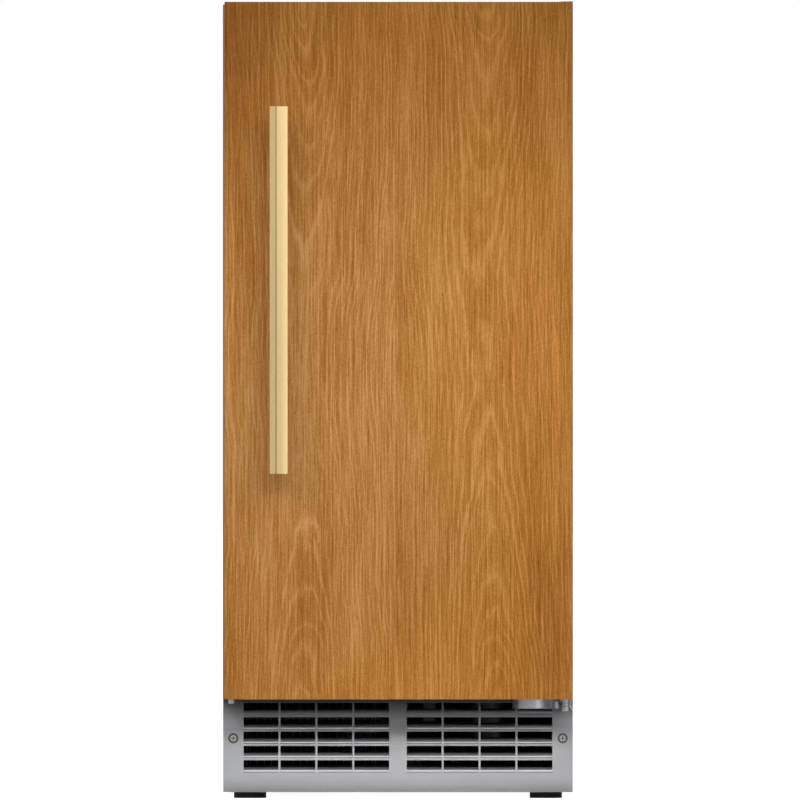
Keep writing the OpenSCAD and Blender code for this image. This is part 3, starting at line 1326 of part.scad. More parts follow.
base_pan();
left_side_panel();
right_side_panel();
top_panel();
bulkhead();
rear_panel();
service_panel();
inner_liner();
foam_insulation();
toe_grille();
grille_screws();
lower_hinge_bracket();
lower_hinge_pin();
upper_hinge_bracket();
hinge_screws();
control_housing();
evaporator_plate();
evaporator_coil();
evaporator_rails();
water_distributor();
water_pan();
cutter_frame();
cutter_wires();
pump_motor();
pump_hose();
bin_drain();
drain_hose();
drain_outlet();
bin_thermistor();
compressor();
compressor_mounts();
condenser_fins();
condenser_tubes();
fan_shroud();
fan_motor();
filter_drier();
refrigerant_lines();
hot_gas_valve();
water_inlet_valve();
fill_tube();
control_box();
power_gland();
door_shell();
door_liner();
door_gasket();
overlay_panel();
handle_bar();
handle_posts();
door_bushings();
hinge_hole_plug();
fan_blade();
pump_impeller();
power_button();
clean_button();
light_button();
foot_front_left();
foot_front_right();
foot_rear_left();
foot_rear_right();
ice_scoop();
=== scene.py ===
"""Finishes and stage for an under-counter ice maker with a wood overlay panel.

Laid out as a Blender add-on and run as a script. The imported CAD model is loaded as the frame, its nodes are
dressed with procedural materials, and the soft door seal is made here as a surface. Lengths are in metres.
"""

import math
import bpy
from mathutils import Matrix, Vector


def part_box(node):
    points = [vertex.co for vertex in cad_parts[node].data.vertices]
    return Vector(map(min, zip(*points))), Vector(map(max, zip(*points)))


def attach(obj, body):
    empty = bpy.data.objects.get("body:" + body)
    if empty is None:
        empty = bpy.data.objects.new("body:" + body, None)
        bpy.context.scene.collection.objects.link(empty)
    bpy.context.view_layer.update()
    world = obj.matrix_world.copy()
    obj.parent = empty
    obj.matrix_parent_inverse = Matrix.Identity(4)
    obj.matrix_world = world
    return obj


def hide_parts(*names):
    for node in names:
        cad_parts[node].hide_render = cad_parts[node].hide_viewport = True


bl_info = {
    "name": "Under-counter ice maker dressing",
    "version": (1, 0, 0),
    "blender": (4, 5, 0),
    "location": "3D View > Sidebar > Ice maker",
    "description": "Dresses the ice maker's parts in procedural finishes and sets its stage",
    "category": "Object",
}

from functools import reduce

import bpy
import numpy as np
from bpy.props import FloatProperty, FloatVectorProperty, PointerProperty
from bpy.types import Operator, Panel, PropertyGroup

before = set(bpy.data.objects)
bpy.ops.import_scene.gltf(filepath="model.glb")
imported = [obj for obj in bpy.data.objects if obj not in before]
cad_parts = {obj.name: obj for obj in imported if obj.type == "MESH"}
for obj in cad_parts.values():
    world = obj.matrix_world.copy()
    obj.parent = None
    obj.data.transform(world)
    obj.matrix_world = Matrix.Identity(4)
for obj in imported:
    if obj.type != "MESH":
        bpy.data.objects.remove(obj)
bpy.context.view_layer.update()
PANEL_LOW, PANEL_HIGH = (np.array(corner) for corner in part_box("overlay_panel"))
FACE_Y = PANEL_LOW[1]

# A noise stays mostly between these values
NOISE_LOW, NOISE_HIGH = 0.3, 0.7

# Steel: linear colour of the shade painted on it, and the look of its polished places
PAINTED_SHADE_COLOUR = (0.03, 0.026, 0.027)
POLISHED_METALLIC, POLISHED_ROUGHNESS = 0.85, 0.28

# Toe grille: depths behind its face, then heights, then radii about its screws, for its polish and the shade
# painted on it
FACE_ENDS, LOUVRES_BEGIN = 0.00005, 0.00008
EDGE_LINE_FADES = (0.00014, 0.0002)
LOUVRE_BACK = (0.0046, 0.0057)
ROLL_TOP = 0.0236
DOOR_SHADOW_HEIGHTS = (0.084, 0.1065)
SCREW_HEAD_RADIUS, SCREW_WELL_RADIUS = 0.0036, 0.0056

# Groove along the handle: its distance from the bar's left side, and the distances from its middle at which
# the shade painted along it is gone and is full
GROOVE_FROM_LEFT = 0.00675
GROOVE_SIDES = (0.0011, 0.0007)

# Veneer: the seam from the panel's middle; the left and the right leaf's middle line and the height of its
# deepest cut; how far apart the leaves' figures lie in the noise
SEAM_OFFSET = -0.004
LEAF_MIDDLES = (-0.1, 0.094)
LEAF_SUMMITS = (0.448, 0.508)
LEAF_SHIFT = 7.3
# Depth of the cut in the log and its fall with the square of the height, and the growth rings in a metre
CUT_DEPTH, CUT_FALL = 0.044, 0.215
RINGS_PER_METRE = 215.0
# How much early wood lightens and open pores darken the tone, and the tone of plain wood
EARLY_LIGHTENS, PORES_DARKEN, PLAIN_TONE = 0.27, 0.24, 0.475

# Front lamps: how far away they hang, and the radius of their pool of light before it is scaled to its reach
LAMP_DISTANCE, POOL_RADIUS = 5.0, 0.6
KEY_TURNS = np.radians(np.linspace(-56.0, 56.0, 9))
KEY_RAISES = tuple(math.radians(degrees) for degrees in (37.0, 27.0))
KEY_MIDDLE, KEY_REACH, KEY_SOFTNESS = (-0.008, FACE_Y, 0.46), (0.37, 0.61), 0.4
TOE_RAISE = math.radians(33.0)
TOE_MIDDLE, TOE_REACH, TOE_SOFTNESS = (0.0, FACE_Y + 0.06, 0.02), (0.34, 0.13), 0.12
# Panels before the handle: name, size, and place across and up
HANDLE_LIGHTS = (("handle_light", (0.9, 0.95), -0.35, 1.1), ("handle_light_right", (0.6, 1.5), 0.55, 0.5))
HANDLE_LIGHT_DISTANCE = 3.0
TOP_LIGHT_SHARE = 0.15

# Camera: its place across and up, and the plane it keeps its distance from
CAMERA_X, CAMERA_Z, CAMERA_PLANE_Y = 0.0022, 0.4305, -0.25
SENSOR_WIDTH = 36.0


def screen_colour(red, green, blue):
    """Linear colour of an 8 bit screen colour."""
    def linear(value):
        part = value / 255.0
        return part / 12.92 if part <= 0.04045 else ((part + 0.055) / 1.055) ** 2.4
    return (linear(red), linear(green), linear(blue))


def tinted(rgb, factor):
    """The colour times a factor."""
    return tuple(min(1.0, part * factor) for part in rgb)


def colour_property(name, description, rgb):
    """A colour setting with its default given as a screen colour."""
    return FloatVectorProperty(name=name, description=description, subtype="COLOR", size=3, min=0.0, max=1.0,
                               default=screen_colour(*rgb))


class IcemakerFinishes(PropertyGroup):
    """Colours of the ice maker's finishes."""
    oak_light: colour_property("Oak, light", "Late wood of the overlay panel", (215, 163, 106))
    oak_mid: colour_property("Oak, middle", "Body colour of the overlay panel", (190, 135, 72))
    oak_dark: colour_property("Oak, dark", "Early wood lines of the overlay panel", (163, 107, 44))
    oak_pore: colour_property("Oak, pores", "Open pores of the overlay panel", (128, 72, 16))
    brass: colour_property("Brass", "Satin brass of the handle", (249, 218, 158))
    steel: colour_property("Stainless steel", "Brushed steel of the grille and hinges", (188, 189, 193))
    zinc: colour_property("Galvanised steel", "Zinc coated pans and bulkhead", (196, 200, 203))
    cabinet: colour_property("Cabinet paint", "Powder coat of the outer panels", (58, 59, 61))
    door: colour_property("Door paint", "Coated steel of the door shell", (150, 142, 134))
    liner: colour_property("Liner", "Formed plastic of the bin and the door", (232, 234, 234))
    white_part: colour_property("White mouldings", "Tray, rails and housings", (226, 228, 228))
    copper: colour_property("Copper", "Tubes of the cooling circuit", (200, 128, 92))
    seal: colour_property("Door seal", "Extruded seal of the door", (74, 75, 78))


class IcemakerSizes(PropertyGroup):
    """Sizes of the piece that is made here."""
    seal_width: FloatProperty(name="Seal width", description="Width of the door seal's section",
                              default=0.014, min=0.006, max=0.02, unit="LENGTH")
    seal_fold: FloatProperty(name="Seal folds",
                             description="Depth of the flanks' folds, as a share of half the width",
                             default=0.13, min=0.0, max=0.4, subtype="FACTOR")


class IcemakerStage(PropertyGroup):
    """Sizes and strengths of the stage."""
    camera_distance: FloatProperty(name="Camera distance",
                                   description="From the cabinet's front to the camera", default=30.0,
                                   min=2.0, max=40.0, unit="LENGTH")
    field_width: FloatProperty(name="Field width", description="Width of the view at the cabinet's front",
                               default=0.864, min=0.5, max=3.0, unit="LENGTH")
    key_watts: FloatProperty(name="Key lights", description="Power of the raised front lights together",
                             default=2150.0, min=0.0, unit="POWER")
    toe_watts: FloatProperty(name="Toe light", description="Power of the raised light on the toe grille",
                             default=330.0, min=0.0, unit="POWER")
    strip_watts: FloatProperty(name="Handle lights", default=1.0, min=0.0, unit="POWER",
                               description="Power of each panel that the handle mirrors")
    side_watts: FloatProperty(name="Side lights", default=60.0, min=0.0, unit="POWER",
                              description="Power of each light beside and behind the cabinet")
    fill: FloatProperty(name="Fill", description="Strength of the surrounding light from the front",
                        default=0.16, min=0.0, max=2.0, subtype="FACTOR")


class Recipe:
    """A node material in the making. A value given to an input is a constant or another node's output."""

    def __init__(self, name, world=None):
        self.material = world or bpy.data.materials.new(name)
        self.material.use_nodes = True
        self.nodes = self.material.node_tree.nodes
        self.links = self.material.node_tree.links
        self.nodes.clear()
        output = self.nodes.new("ShaderNodeOutputWorld" if world else "ShaderNodeOutputMaterial")
        self.surface = self.nodes.new("ShaderNodeBackground" if world else "ShaderNodeBsdfPrincipled")
        self.links.new(self.surface.outputs[0], output.inputs[0])
        self.place = self.nodes.new("ShaderNodeTexCoord").outputs["Object"]

    def feed(self, node, key, value):
        """Links an output to a node's input, or sets the input to a constant."""
        socket = node.inputs[key]
        if isinstance(value, bpy.types.NodeSocket):
            self.links.new(value, socket)
        elif socket.type == "RGBA" and len(value) == 3:
            socket.default_value = (*value, 1.0)
        else:
            socket.default_value = value

    def add(self, kind, inputs, output=0, **settings):
        """A new node with its settings and inputs; gives one of its outputs."""
        node = self.nodes.new("ShaderNode" + kind)
        for key, value in settings.items():
            setattr(node, key, value)
        for key, value in inputs.items():
            self.feed(node, key, value)
        return node.outputs[output]

    def shade(self, **values):
        """Feeds the shader's inputs, named with underscores for spaces."""
        for key, value in values.items():
            self.feed(self.surface, key.replace("_", " "), value)

    def maths(self, operation, a, b=0.0, clamp=False):
        """One operation on one or two numbers."""
        return self.add("Math", {0: a, 1: b}, operation=operation, use_clamp=clamp)

    def total(self, *values):
        """The sum of the values."""
        return reduce(lambda a, b: self.maths("ADD", a, b), values)

    def product(self, *values):
        """The values multiplied together."""
        return reduce(lambda a, b: self.maths("MULTIPLY", a, b), values)

    def minus(self, *values):
        """The first value less the others."""
        return reduce(lambda a, b: self.maths("SUBTRACT", a, b), values)

    def stretched(self, scale, source=None):
        """A place times a scale along each axis."""
        return self.add("VectorMath", {0: source or self.place, 1: scale}, operation="MULTIPLY")

    def parts(self, vector):
        """The three parts of a vector."""
        node = self.nodes.new("ShaderNodeSeparateXYZ")
        self.links.new(vector, node.inputs[0])
        return node.outputs

    def vector(self, x, y, z):
        """A vector from its three parts."""
        return self.add("CombineXYZ", {0: x, 1: y, 2: z})

    def noise(self, vector, scale=1.0, detail=2.0, roughness=0.5):
        """Soft noise about a half."""
        return self.add("TexNoise", {"Vector": vector, "Scale": scale, "Detail": detail,
                                     "Roughness": roughness})

    def cells(self, vector, scale, output="Distance"):
        """Cells about scattered points: the distance from the nearest point, or the cell's own colour."""
        return self.add("TexVoronoi", {"Vector": vector, "Scale": scale}, output=output)

    def spread(self, value, low, high, to_low=0.0, to_high=1.0):
        """Straight-line remap of a value, held at both ends."""
        return self.add("MapRange", {0: value, 1: low, 2: high, 3: to_low, 4: to_high})

    def vary(self, noise, to_low, to_high):
        """A noise remapped to a range that it fills."""
        return self.spread(noise, NOISE_LOW, NOISE_HIGH, to_low, to_high)

    def blend(self, factor, a, b, mode="MIX"):
        """A colour between two colours."""
        return self.add("Mix", {0: factor, 6: a, 7: b}, output=2, data_type="RGBA", blend_type=mode)

    def number(self, factor, a, b):
        """A number between two numbers."""
        return self.add("Mix", {0: factor, 2: a, 3: b}, data_type="FLOAT")

    def shades(self, noise, rgb, dark, light, low=NOISE_LOW, high=NOISE_HIGH):
        """A colour that a noise varies between two factors of itself."""
        return self.blend(self.spread(noise, low, high), tinted(rgb, dark), tinted(rgb, light))

    def stained(self, colour, factor, clean, stain):
        """A colour multiplied by one between clean and stain."""
        return self.blend(1.0, colour, self.blend(factor, clean, stain), "MULTIPLY")

    def ramp(self, value, stops):
        """Colours along a value, each stop a place and a linear colour."""
        node = self.nodes.new("ShaderNodeValToRGB")
        points = node.color_ramp.elements
        while len(points) < len(stops):
            points.new(0.5)
        for point, (place, rgb) in zip(points, stops):
            point.position = place
            point.color = (*rgb, 1.0)
        self.feed(node, "Fac", value)
        return node.outputs["Color"]

    def relief(self, height, distance, strength):
        """A bump from a height between 0 and 1, as deep as the distance."""
        return self.add("Bump", {"Height": height, "Distance": distance, "Strength": strength})

    def mirror_rays(self):
        """Whether a ray comes from a mirror or through glass, and whether it comes from the camera."""
        path = self.nodes.new("ShaderNodeLightPath")
        mirrored = self.maths("MAXIMUM", path.outputs["Is Glossy Ray"], path.outputs["Is Transmission Ray"])
        return mirrored, path.outputs["Is Camera Ray"]


def powder_coat(name, rgb):
    """Fine-textured paint: small rounded grains over faint unevenness of tone."""
    recipe = Recipe(name)
    grain = recipe.noise(recipe.place, 1400.0)
    drift = recipe.noise(recipe.place, 9.0, detail=3.0)
    recipe.shade(Base_Color=recipe.shades(drift, rgb, 0.93, 1.07), Roughness=recipe.vary(drift, 0.48, 0.57),
                 Normal=recipe.relief(grain, 0.00012, 0.5))
    return recipe.material


def smooth_paint(name, rgb):
    """Coated sheet: an even film with a slight orange peel."""
    recipe = Recipe(name)
    peel = recipe.noise(recipe.place, 260.0)
    drift = recipe.noise(recipe.place, 6.0, detail=3.0)
    recipe.shade(Base_Color=recipe.shades(drift, rgb, 0.95, 1.04), Metallic=0.35,
                 Roughness=recipe.vary(drift, 0.31, 0.39), Normal=recipe.relief(peel, 0.00008, 0.4))
    return recipe.material


def brushed_metal(name, rgb, stretch, roughness, soil=0.06, metallic=1.0, painted_shade=None, polished=None):
    """Metal brushed one way: long thin scratches across which the gloss varies, and faint handling marks.

    Stretch is the scratches' fineness along each axis, and soil how much the marks dull the gloss. Painted
    shade and polished, where given, are called with the recipe and give how much shade is painted on each
    place and how polished it is.
    """
    recipe = Recipe(name)
    fine = recipe.noise(recipe.stretched(stretch), detail=3.0, roughness=0.65)
    broad = recipe.noise(recipe.stretched(tuple(part * 0.22 for part in stretch)))
    marks = recipe.noise(recipe.place, 14.0, detail=4.0, roughness=0.6)
    lines = recipe.total(recipe.product(fine, 0.65), recipe.product(broad, 0.35))
    rough = recipe.total(recipe.vary(lines, roughness - 0.07, roughness + 0.07),
                         recipe.spread(marks, 0.45, 0.75, 0.0, soil))
    tone = recipe.shades(lines, rgb, 0.9, 1.05)
    if metallic < 1.0:
        recipe.shade(Specular_IOR_Level=0.1)
    # Painted shade: where given, the colour is darkened towards the near-black shade colour
    if painted_shade:
        tone = recipe.blend(painted_shade(recipe), tone, PAINTED_SHADE_COLOUR)
    if polished:
        bright = polished(recipe)
        metallic = recipe.number(bright, metallic, POLISHED_METALLIC)
        rough = recipe.number(bright, rough, POLISHED_ROUGHNESS)
    recipe.shade(Base_Color=tone, Metallic=metallic, Roughness=rough,
                 Normal=recipe.relief(lines, 0.000025, 0.7))
    return recipe.material


def grille_depth(recipe):
    """Depth behind the grille's face, and whether a place is above its rolled edge."""
    y, z = recipe.parts(recipe.place)[1:3]
    return recipe.minus(y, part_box("toe_grille")[0][1]), recipe.maths("GREATER_THAN", z, ROLL_TOP)


def louvre_polish(recipe):
    """Polished on the louvres, which start a tenth of a millimetre behind the face."""
    depth, above_roll = grille_depth(recipe)
    return recipe.product(recipe.spread(depth, FACE_ENDS, LOUVRES_BEGIN), above_roll)


def grille_painted_shade(recipe):
    """Painted shade: a dark line along the slots' edges, darkness behind the louvres, the door's shadow on
    the face under it, and shade in the screw wells.
    """
    depth, above_roll = grille_depth(recipe)
    # Painted shade deep behind the louvres, and a painted shadow line just behind the slots' edges
    behind = recipe.spread(depth, *LOUVRE_BACK, 0.0, 0.95)
    edge = recipe.product(recipe.spread(depth, FACE_ENDS, LOUVRES_BEGIN, 0.0, 0.93),
                          recipe.spread(depth, *EDGE_LINE_FADES, 1.0, 0.0))
    shade_amount = recipe.product(recipe.maths("MAXIMUM", behind, edge), above_roll)
    height = recipe.parts(recipe.place)[2]
    # Painted shadow of the door on the top of the face
    door_shadow = recipe.product(recipe.spread(height, *DOOR_SHADOW_HEIGHTS, 0.0, 0.85),
                                recipe.maths("LESS_THAN", depth, FACE_ENDS))
    shade_amount = recipe.maths("MAXIMUM", shade_amount, door_shadow)
    low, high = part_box("grille_screws")
    on_face = recipe.stretched((1.0, 0.0, 1.0))
    # Painted shade in the screw wells
    for middle in (low[0] + SCREW_HEAD_RADIUS, high[0] - SCREW_HEAD_RADIUS):
        off = recipe.add("VectorMath", {0: on_face, 1: (middle, 0.0, (low[2] + high[2]) / 2)},
                         output="Value", operation="DISTANCE")
        shade_amount = recipe.number(recipe.maths("LESS_THAN", off, SCREW_WELL_RADIUS), shade_amount, 0.74)
    return shade_amount


def screw_recess_painted_shade(recipe):
    """Painted shade in the cross recesses and on the sides of the grille's screws."""
    depth = recipe.minus(recipe.parts(recipe.place)[1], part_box("grille_screws")[0][1])
    # Painted shade: darker the deeper a place lies behind the screws' front
    return recipe.spread(depth, 0.0001, 0.0003, 0.0, 0.72)


def galvanised(name, rgb):
    """Zinc coat: large flat crystals of slightly different tone and gloss."""
    recipe = Recipe(name)
    crystal = recipe.parts(recipe.cells(recipe.place, 95.0, output="Color"))[0]
    cloud = recipe.noise(recipe.place, 22.0, detail=4.0, roughness=0.6)
    mixed = recipe.total(recipe.product(crystal, 0.5), recipe.product(cloud, 0.5))
    recipe.shade(Base_Color=recipe.blend(mixed, tinted(rgb, 0.78), tinted(rgb, 1.02)), Metallic=0.85,
                 Roughness=recipe.spread(mixed, 0.2, 0.8, 0.34, 0.52),
                 Normal=recipe.relief(cloud, 0.00006, 0.4))
    return recipe.material


def moulded(name, rgb, roughness=0.42, grain=900.0):
    """Injection-moulded plastic: an etched grain, faint flow shading and a little dust in the gloss."""
    recipe = Recipe(name)
    etched = recipe.noise(recipe.place, grain)
    flow = recipe.noise(recipe.stretched((3.0, 9.0, 5.0)), 1.6, detail=3.0, roughness=0.55)
    dust = recipe.noise(recipe.place, 55.0, detail=5.0, roughness=0.7)
    rough = recipe.total(recipe.vary(flow, roughness - 0.03, roughness + 0.03),
                         recipe.spread(dust, 0.5, 0.8, 0.0, 0.12))
    recipe.shade(Base_Color=recipe.shades(flow, rgb, 0.95, 1.02, 0.25, 0.75), Roughness=rough,
                 Normal=recipe.relief(etched, 0.00005, 0.5))
    return recipe.material


def formed_liner(name, rgb):
    """Vacuum-formed sheet: satin, with the slow ripple that forming leaves and faint unevenness of tone."""
    recipe = Recipe(name)
    ripple = recipe.noise(recipe.place, 42.0)
    drift = recipe.noise(recipe.place, 5.0, detail=3.0)
    recipe.shade(Base_Color=recipe.shades(drift, rgb, 0.95, 1.01), Roughness=recipe.vary(drift, 0.38, 0.46),
                 Specular_IOR_Level=0.3, Normal=recipe.relief(ripple, 0.0002, 0.2))
    return recipe.material


def rubber(name, rgb, roughness=0.68):
    """Moulded rubber: matt, with a fine bloom and scuffs."""
    recipe = Recipe(name)
    bloom = recipe.noise(recipe.place, 60.0, detail=4.0, roughness=0.65)
    grain = recipe.noise(recipe.place, 1100.0)
    recipe.shade(Base_Color=recipe.shades(bloom, rgb, 1.0, 1.6, 0.35, 0.75),
                 Roughness=recipe.vary(bloom, roughness - 0.06, roughness + 0.1),
                 Normal=recipe.relief(grain, 0.00006, 0.5))
    return recipe.material


def rigid_foam(name, rgb):
    """Poured foam: round closed cells and patches where it is denser."""
    recipe = Recipe(name)
    cells = recipe.cells(recipe.place, 420.0)
    patch = recipe.noise(recipe.place, 18.0, detail=4.0, roughness=0.6)
    recipe.shade(Base_Color=recipe.shades(patch, rgb, 0.82, 1.0), Roughness=0.88,
                 Normal=recipe.relief(cells, 0.0006, 0.6))
    return recipe.material


def drawn_tube(name, rgb):
    """Drawn copper: bright metal under uneven brown and rosy tarnish."""
    recipe = Recipe(name)
    tarnish = recipe.noise(recipe.place, 30.0, detail=5.0, roughness=0.65)
    spots = recipe.noise(recipe.place, 160.0, detail=3.0)
    stain = recipe.product(recipe.spread(tarnish, 0.38, 0.72), recipe.spread(spots, 0.2, 0.7, 0.4, 1.0))
    recipe.shade(Base_Color=recipe.blend(stain, rgb, screen_colour(118, 70, 48)), Metallic=1.0,
                 Roughness=recipe.spread(stain, 0.0, 1.0, 0.26, 0.52),
                 Normal=recipe.relief(spots, 0.00003, 0.5))
    return recipe.material


def vinyl_hose(name, rgb, clear):
    """Extruded vinyl: a faint haze and a waxy gloss; clear hose lets light through."""
    recipe = Recipe(name)
    haze = recipe.noise(recipe.place, 48.0, detail=4.0)
    recipe.shade(Base_Color=recipe.shades(haze, rgb, 0.92, 1.0), Roughness=recipe.vary(haze, 0.22, 0.36),
                 Transmission_Weight=clear, Normal=recipe.relief(haze, 0.0002, 0.3))
    return recipe.material


def fin_pack(name, rgb):
    """Thin metal fins: dust between them and the stamped ripple of each fin."""
    recipe = Recipe(name)
    ripple = recipe.add("TexWave", {"Vector": recipe.place, "Scale": 70.0, "Distortion": 0.2}, output="Fac",
                        wave_type="BANDS", bands_direction="Z")
    dust = recipe.noise(recipe.place, 40.0, detail=5.0, roughness=0.7)
    recipe.shade(Base_Color=recipe.shades(dust, rgb, 1.0, 2.0, 0.45, 0.75), Metallic=0.3,
                 Roughness=recipe.spread(dust, 0.4, 0.7, 0.4, 0.65),
                 Normal=recipe.relief(ripple, 0.0004, 0.6))
    return recipe.material


def enamel(name, rgb):
    """Baked enamel on a pressed shell: deep gloss with soft waves in it."""
    recipe = Recipe(name)
    wave = recipe.noise(recipe.place, 26.0)
    dust = recipe.noise(recipe.place, 70.0, detail=5.0, roughness=0.7)
    recipe.shade(Base_Color=recipe.shades(dust, rgb, 1.0, 2.2, 0.5, 0.8),
                 Roughness=recipe.spread(dust, 0.45, 0.75, 0.2, 0.42), Coat_Weight=0.4, Coat_Roughness=0.12,
                 Normal=recipe.relief(wave, 0.0003, 0.35))
    return recipe.material


def satin_brass(name, rgb, groove_x):
    """Brass brushed along its length under a clear lacquer, a little browner in places, with shade painted
    dark along the groove.
    """
    recipe = Recipe(name)
    fine = recipe.noise(recipe.stretched((2600.0, 2600.0, 18.0)), detail=3.0, roughness=0.6)
    cloud = recipe.noise(recipe.stretched((20.0, 20.0, 6.0)), detail=3.0)
    from_groove = recipe.maths("ABSOLUTE", recipe.minus(recipe.parts(recipe.place)[0], groove_x))
    # Painted shade: the colour is about half as bright along the groove's middle, fading out towards its
    # sides
    tone = recipe.blend(recipe.spread(from_groove, *GROOVE_SIDES), recipe.shades(cloud, rgb, 0.93, 1.0),
                        tinted(rgb, 0.52))
    recipe.shade(Base_Color=recipe.blend(recipe.vary(fine, 0.0, 0.25), tone, tinted(rgb, 0.7)), Metallic=1.0,
                 Roughness=recipe.vary(fine, 0.16, 0.3), Normal=recipe.relief(fine, 0.00002, 0.5))
    return recipe.material


def oak_figure(recipe, x, z):
    """How much early wood is at each place of two leaves side by side, and the place to read their grain at.

    Each leaf is a slice through a log: a point's ring is its distance from the pith, the root of u squared
    plus h squared, where u is the distance from the leaf's middle line and h the slice's depth, which is
    greatest at the leaf's summit and falls off as the square of the height from there. Rings then close in
    arches above and below. In each ring the early wood rises at once and fades by its middle.
    """
    right = recipe.maths("GREATER_THAN", x, (PANEL_LOW[0] + PANEL_HIGH[0]) / 2 + SEAM_OFFSET)
    centre = recipe.spread(right, 0.0, 1.0, *LEAF_MIDDLES)
    summit = recipe.spread(right, 0.0, 1.0, *LEAF_SUMMITS)
    shift = recipe.product(right, LEAF_SHIFT)
    grain_place = recipe.add("VectorMath", {0: recipe.place, 1: recipe.vector(shift, shift, shift)},
                             operation="ADD")
    height = recipe.vector(shift, 0.0, z)
    wander = recipe.spread(recipe.noise(height, 3.1), 0.25, 0.75, -0.013, 0.013)
    u = recipe.minus(x, centre, wander)
    climb = recipe.minus(z, summit)
    depth = recipe.minus(CUT_DEPTH, recipe.product(climb, climb, CUT_FALL))
    depth = recipe.total(depth, recipe.spread(recipe.noise(height, 9.0), 0.25, 0.75, -0.0035, 0.0035))
    from_pith = recipe.maths("SQRT", recipe.total(recipe.product(u, u), recipe.product(depth, depth)))
    ripple = recipe.noise(recipe.stretched((46.0, 46.0, 9.0), grain_place), detail=4.0, roughness=0.6)
    ring = recipe.total(from_pith, recipe.spread(ripple, 0.2, 0.8, -0.0026, 0.0026))
    spacing = recipe.noise(recipe.vector(ring, shift, 0.0), 120.0)
    within = recipe.maths("FRACT", recipe.total(recipe.product(ring, RINGS_PER_METRE),
                                                recipe.product(spacing, 1.6)))
    strength = recipe.noise(recipe.vector(ring, shift, 3.0), 95.0, detail=1.0)
    early = recipe.product(recipe.spread(within, 0.0, 0.2), recipe.spread(within, 0.5, 0.2),
                           recipe.spread(strength, 0.3, 0.68, 0.2, 1.0))
    return early, grain_place


def oak_grain(recipe, grain_place, early):
    """The wood's tone, and its fibre, streaks and open pores.

    The tone is the sum of fine fibre, long streaks, clouds and specks, each about zero and times its weight.
    It is lighter in early wood and darker in the open pores, which crowd into the early wood.
    """
    def layer(stretch, detail, roughness=0.5):
        return recipe.noise(recipe.stretched(stretch, grain_place), detail=detail, roughness=roughness)
    fibre = layer((950.0, 950.0, 24.0), 3.0, 0.7)
    streak = layer((420.0, 420.0, 3.0), 3.0, 0.65)
    cloud = layer((26.0, 26.0, 5.0), 3.0, 0.6)
    speck = layer((900.0, 900.0, 600.0), 1.0)
    pores = recipe.spread(layer((2100.0, 2100.0, 90.0), 2.0), 0.56, 0.68)
    crowd = recipe.total(0.25, recipe.product(early, 0.75))
    open_pore = recipe.maths("MULTIPLY", pores, crowd, clamp=True)
    tone = recipe.minus(fibre, 0.5)
    for noise, weight in ((streak, 0.62), (cloud, 0.55), (speck, 0.4)):
        tone = recipe.total(tone, recipe.product(recipe.minus(noise, 0.5), weight))
    tone = recipe.minus(recipe.total(tone, recipe.product(early, EARLY_LIGHTENS)),
                        recipe.product(open_pore, PORES_DARKEN))
    return tone, fibre, streak, open_pore


def plain_sliced_oak(name, light, mid, dark, pore):
    """Two leaves of plain-sliced oak under a satin lacquer, with shade painted in: darker and warmer away
    from the handle, and darker and redder at the upper corner of the left leaf.
    """
    recipe = Recipe(name)
    x, _, z = recipe.parts(recipe.place)[:3]
    early, grain_place = oak_figure(recipe, x, z)
    tone, fibre, streak, open_pore = oak_grain(recipe, grain_place, early)
    body = recipe.ramp(recipe.total(tone, PLAIN_TONE), ((0.0, pore), (0.27, dark), (0.5, mid), (0.78, light)))
    # Painted shade: the colour grows darker and warmer with distance from a point beside the handle at mid
    # height
    off = recipe.vector(recipe.product(recipe.total(x, 0.1), 3.9), 0.0,
                        recipe.product(recipe.minus(z, 0.43), 2.4))
    away = recipe.add("VectorMath", {0: off}, output="Value", operation="LENGTH")
    body = recipe.stained(body, recipe.spread(away, 0.1, 1.05), (1.0, 0.98, 1.0), (1.0, 0.86, 0.58))
    # Painted shade: darker, redder colour at the upper corner of the left leaf
    corner_shade = recipe.product(recipe.spread(x, PANEL_LOW[0], PANEL_LOW[0] + 0.085, 1.0, 0.0),
                           recipe.spread(z, PANEL_HIGH[2] - 0.24, PANEL_HIGH[2] - 0.06))
    body = recipe.stained(body, corner_shade, (1.0, 1.0, 1.0), (0.74, 0.64, 0.55))
    recipe.shade(Base_Color=body, Roughness=recipe.vary(streak, 0.46, 0.56), Specular_IOR_Level=0.2,
                 Normal=recipe.relief(recipe.minus(recipe.product(fibre, 0.3), open_pore), 0.0001, 0.25))
    return recipe.material


def dress(material, *nodes):
    """Puts one material in every slot of the named CAD nodes."""
    for name in nodes:
        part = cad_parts[name]
        if not part.material_slots:
            part.data.materials.append(None)
        for place in part.material_slots:
            place.link = "OBJECT"
            place.material = material


def surface_piece(name, points, faces, material, body):
    """A mesh object made from whole arrays, with its place in its mesh, that rides on a body."""
    mesh = bpy.data.meshes.new(name)
    mesh.from_pydata(points.tolist(), [], faces.tolist())
    mesh.materials.append(material)
    mesh.shade_smooth()
    piece = bpy.data.objects.new(name, mesh)
    bpy.context.collection.objects.link(piece)
    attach(piece, body)
    return piece


def closed_grid(rows, columns):
    """Quads of a grid that closes on itself both ways, as whole arrays."""
    row, column = np.meshgrid(np.arange(rows), np.arange(columns), indexing="ij")
    next_row, next_column = (row + 1) % rows, (column + 1) % columns
    corners = (row * columns + column, next_row * columns + column, next_row * columns + next_column,
               row * columns + next_column)
    return np.stack([corner.ravel() for corner in corners], axis=1)


def finish_colour(name):
    """One of the finishes' colours, as plain numbers."""
    return tuple(getattr(bpy.context.scene.icemaker_finishes, name))


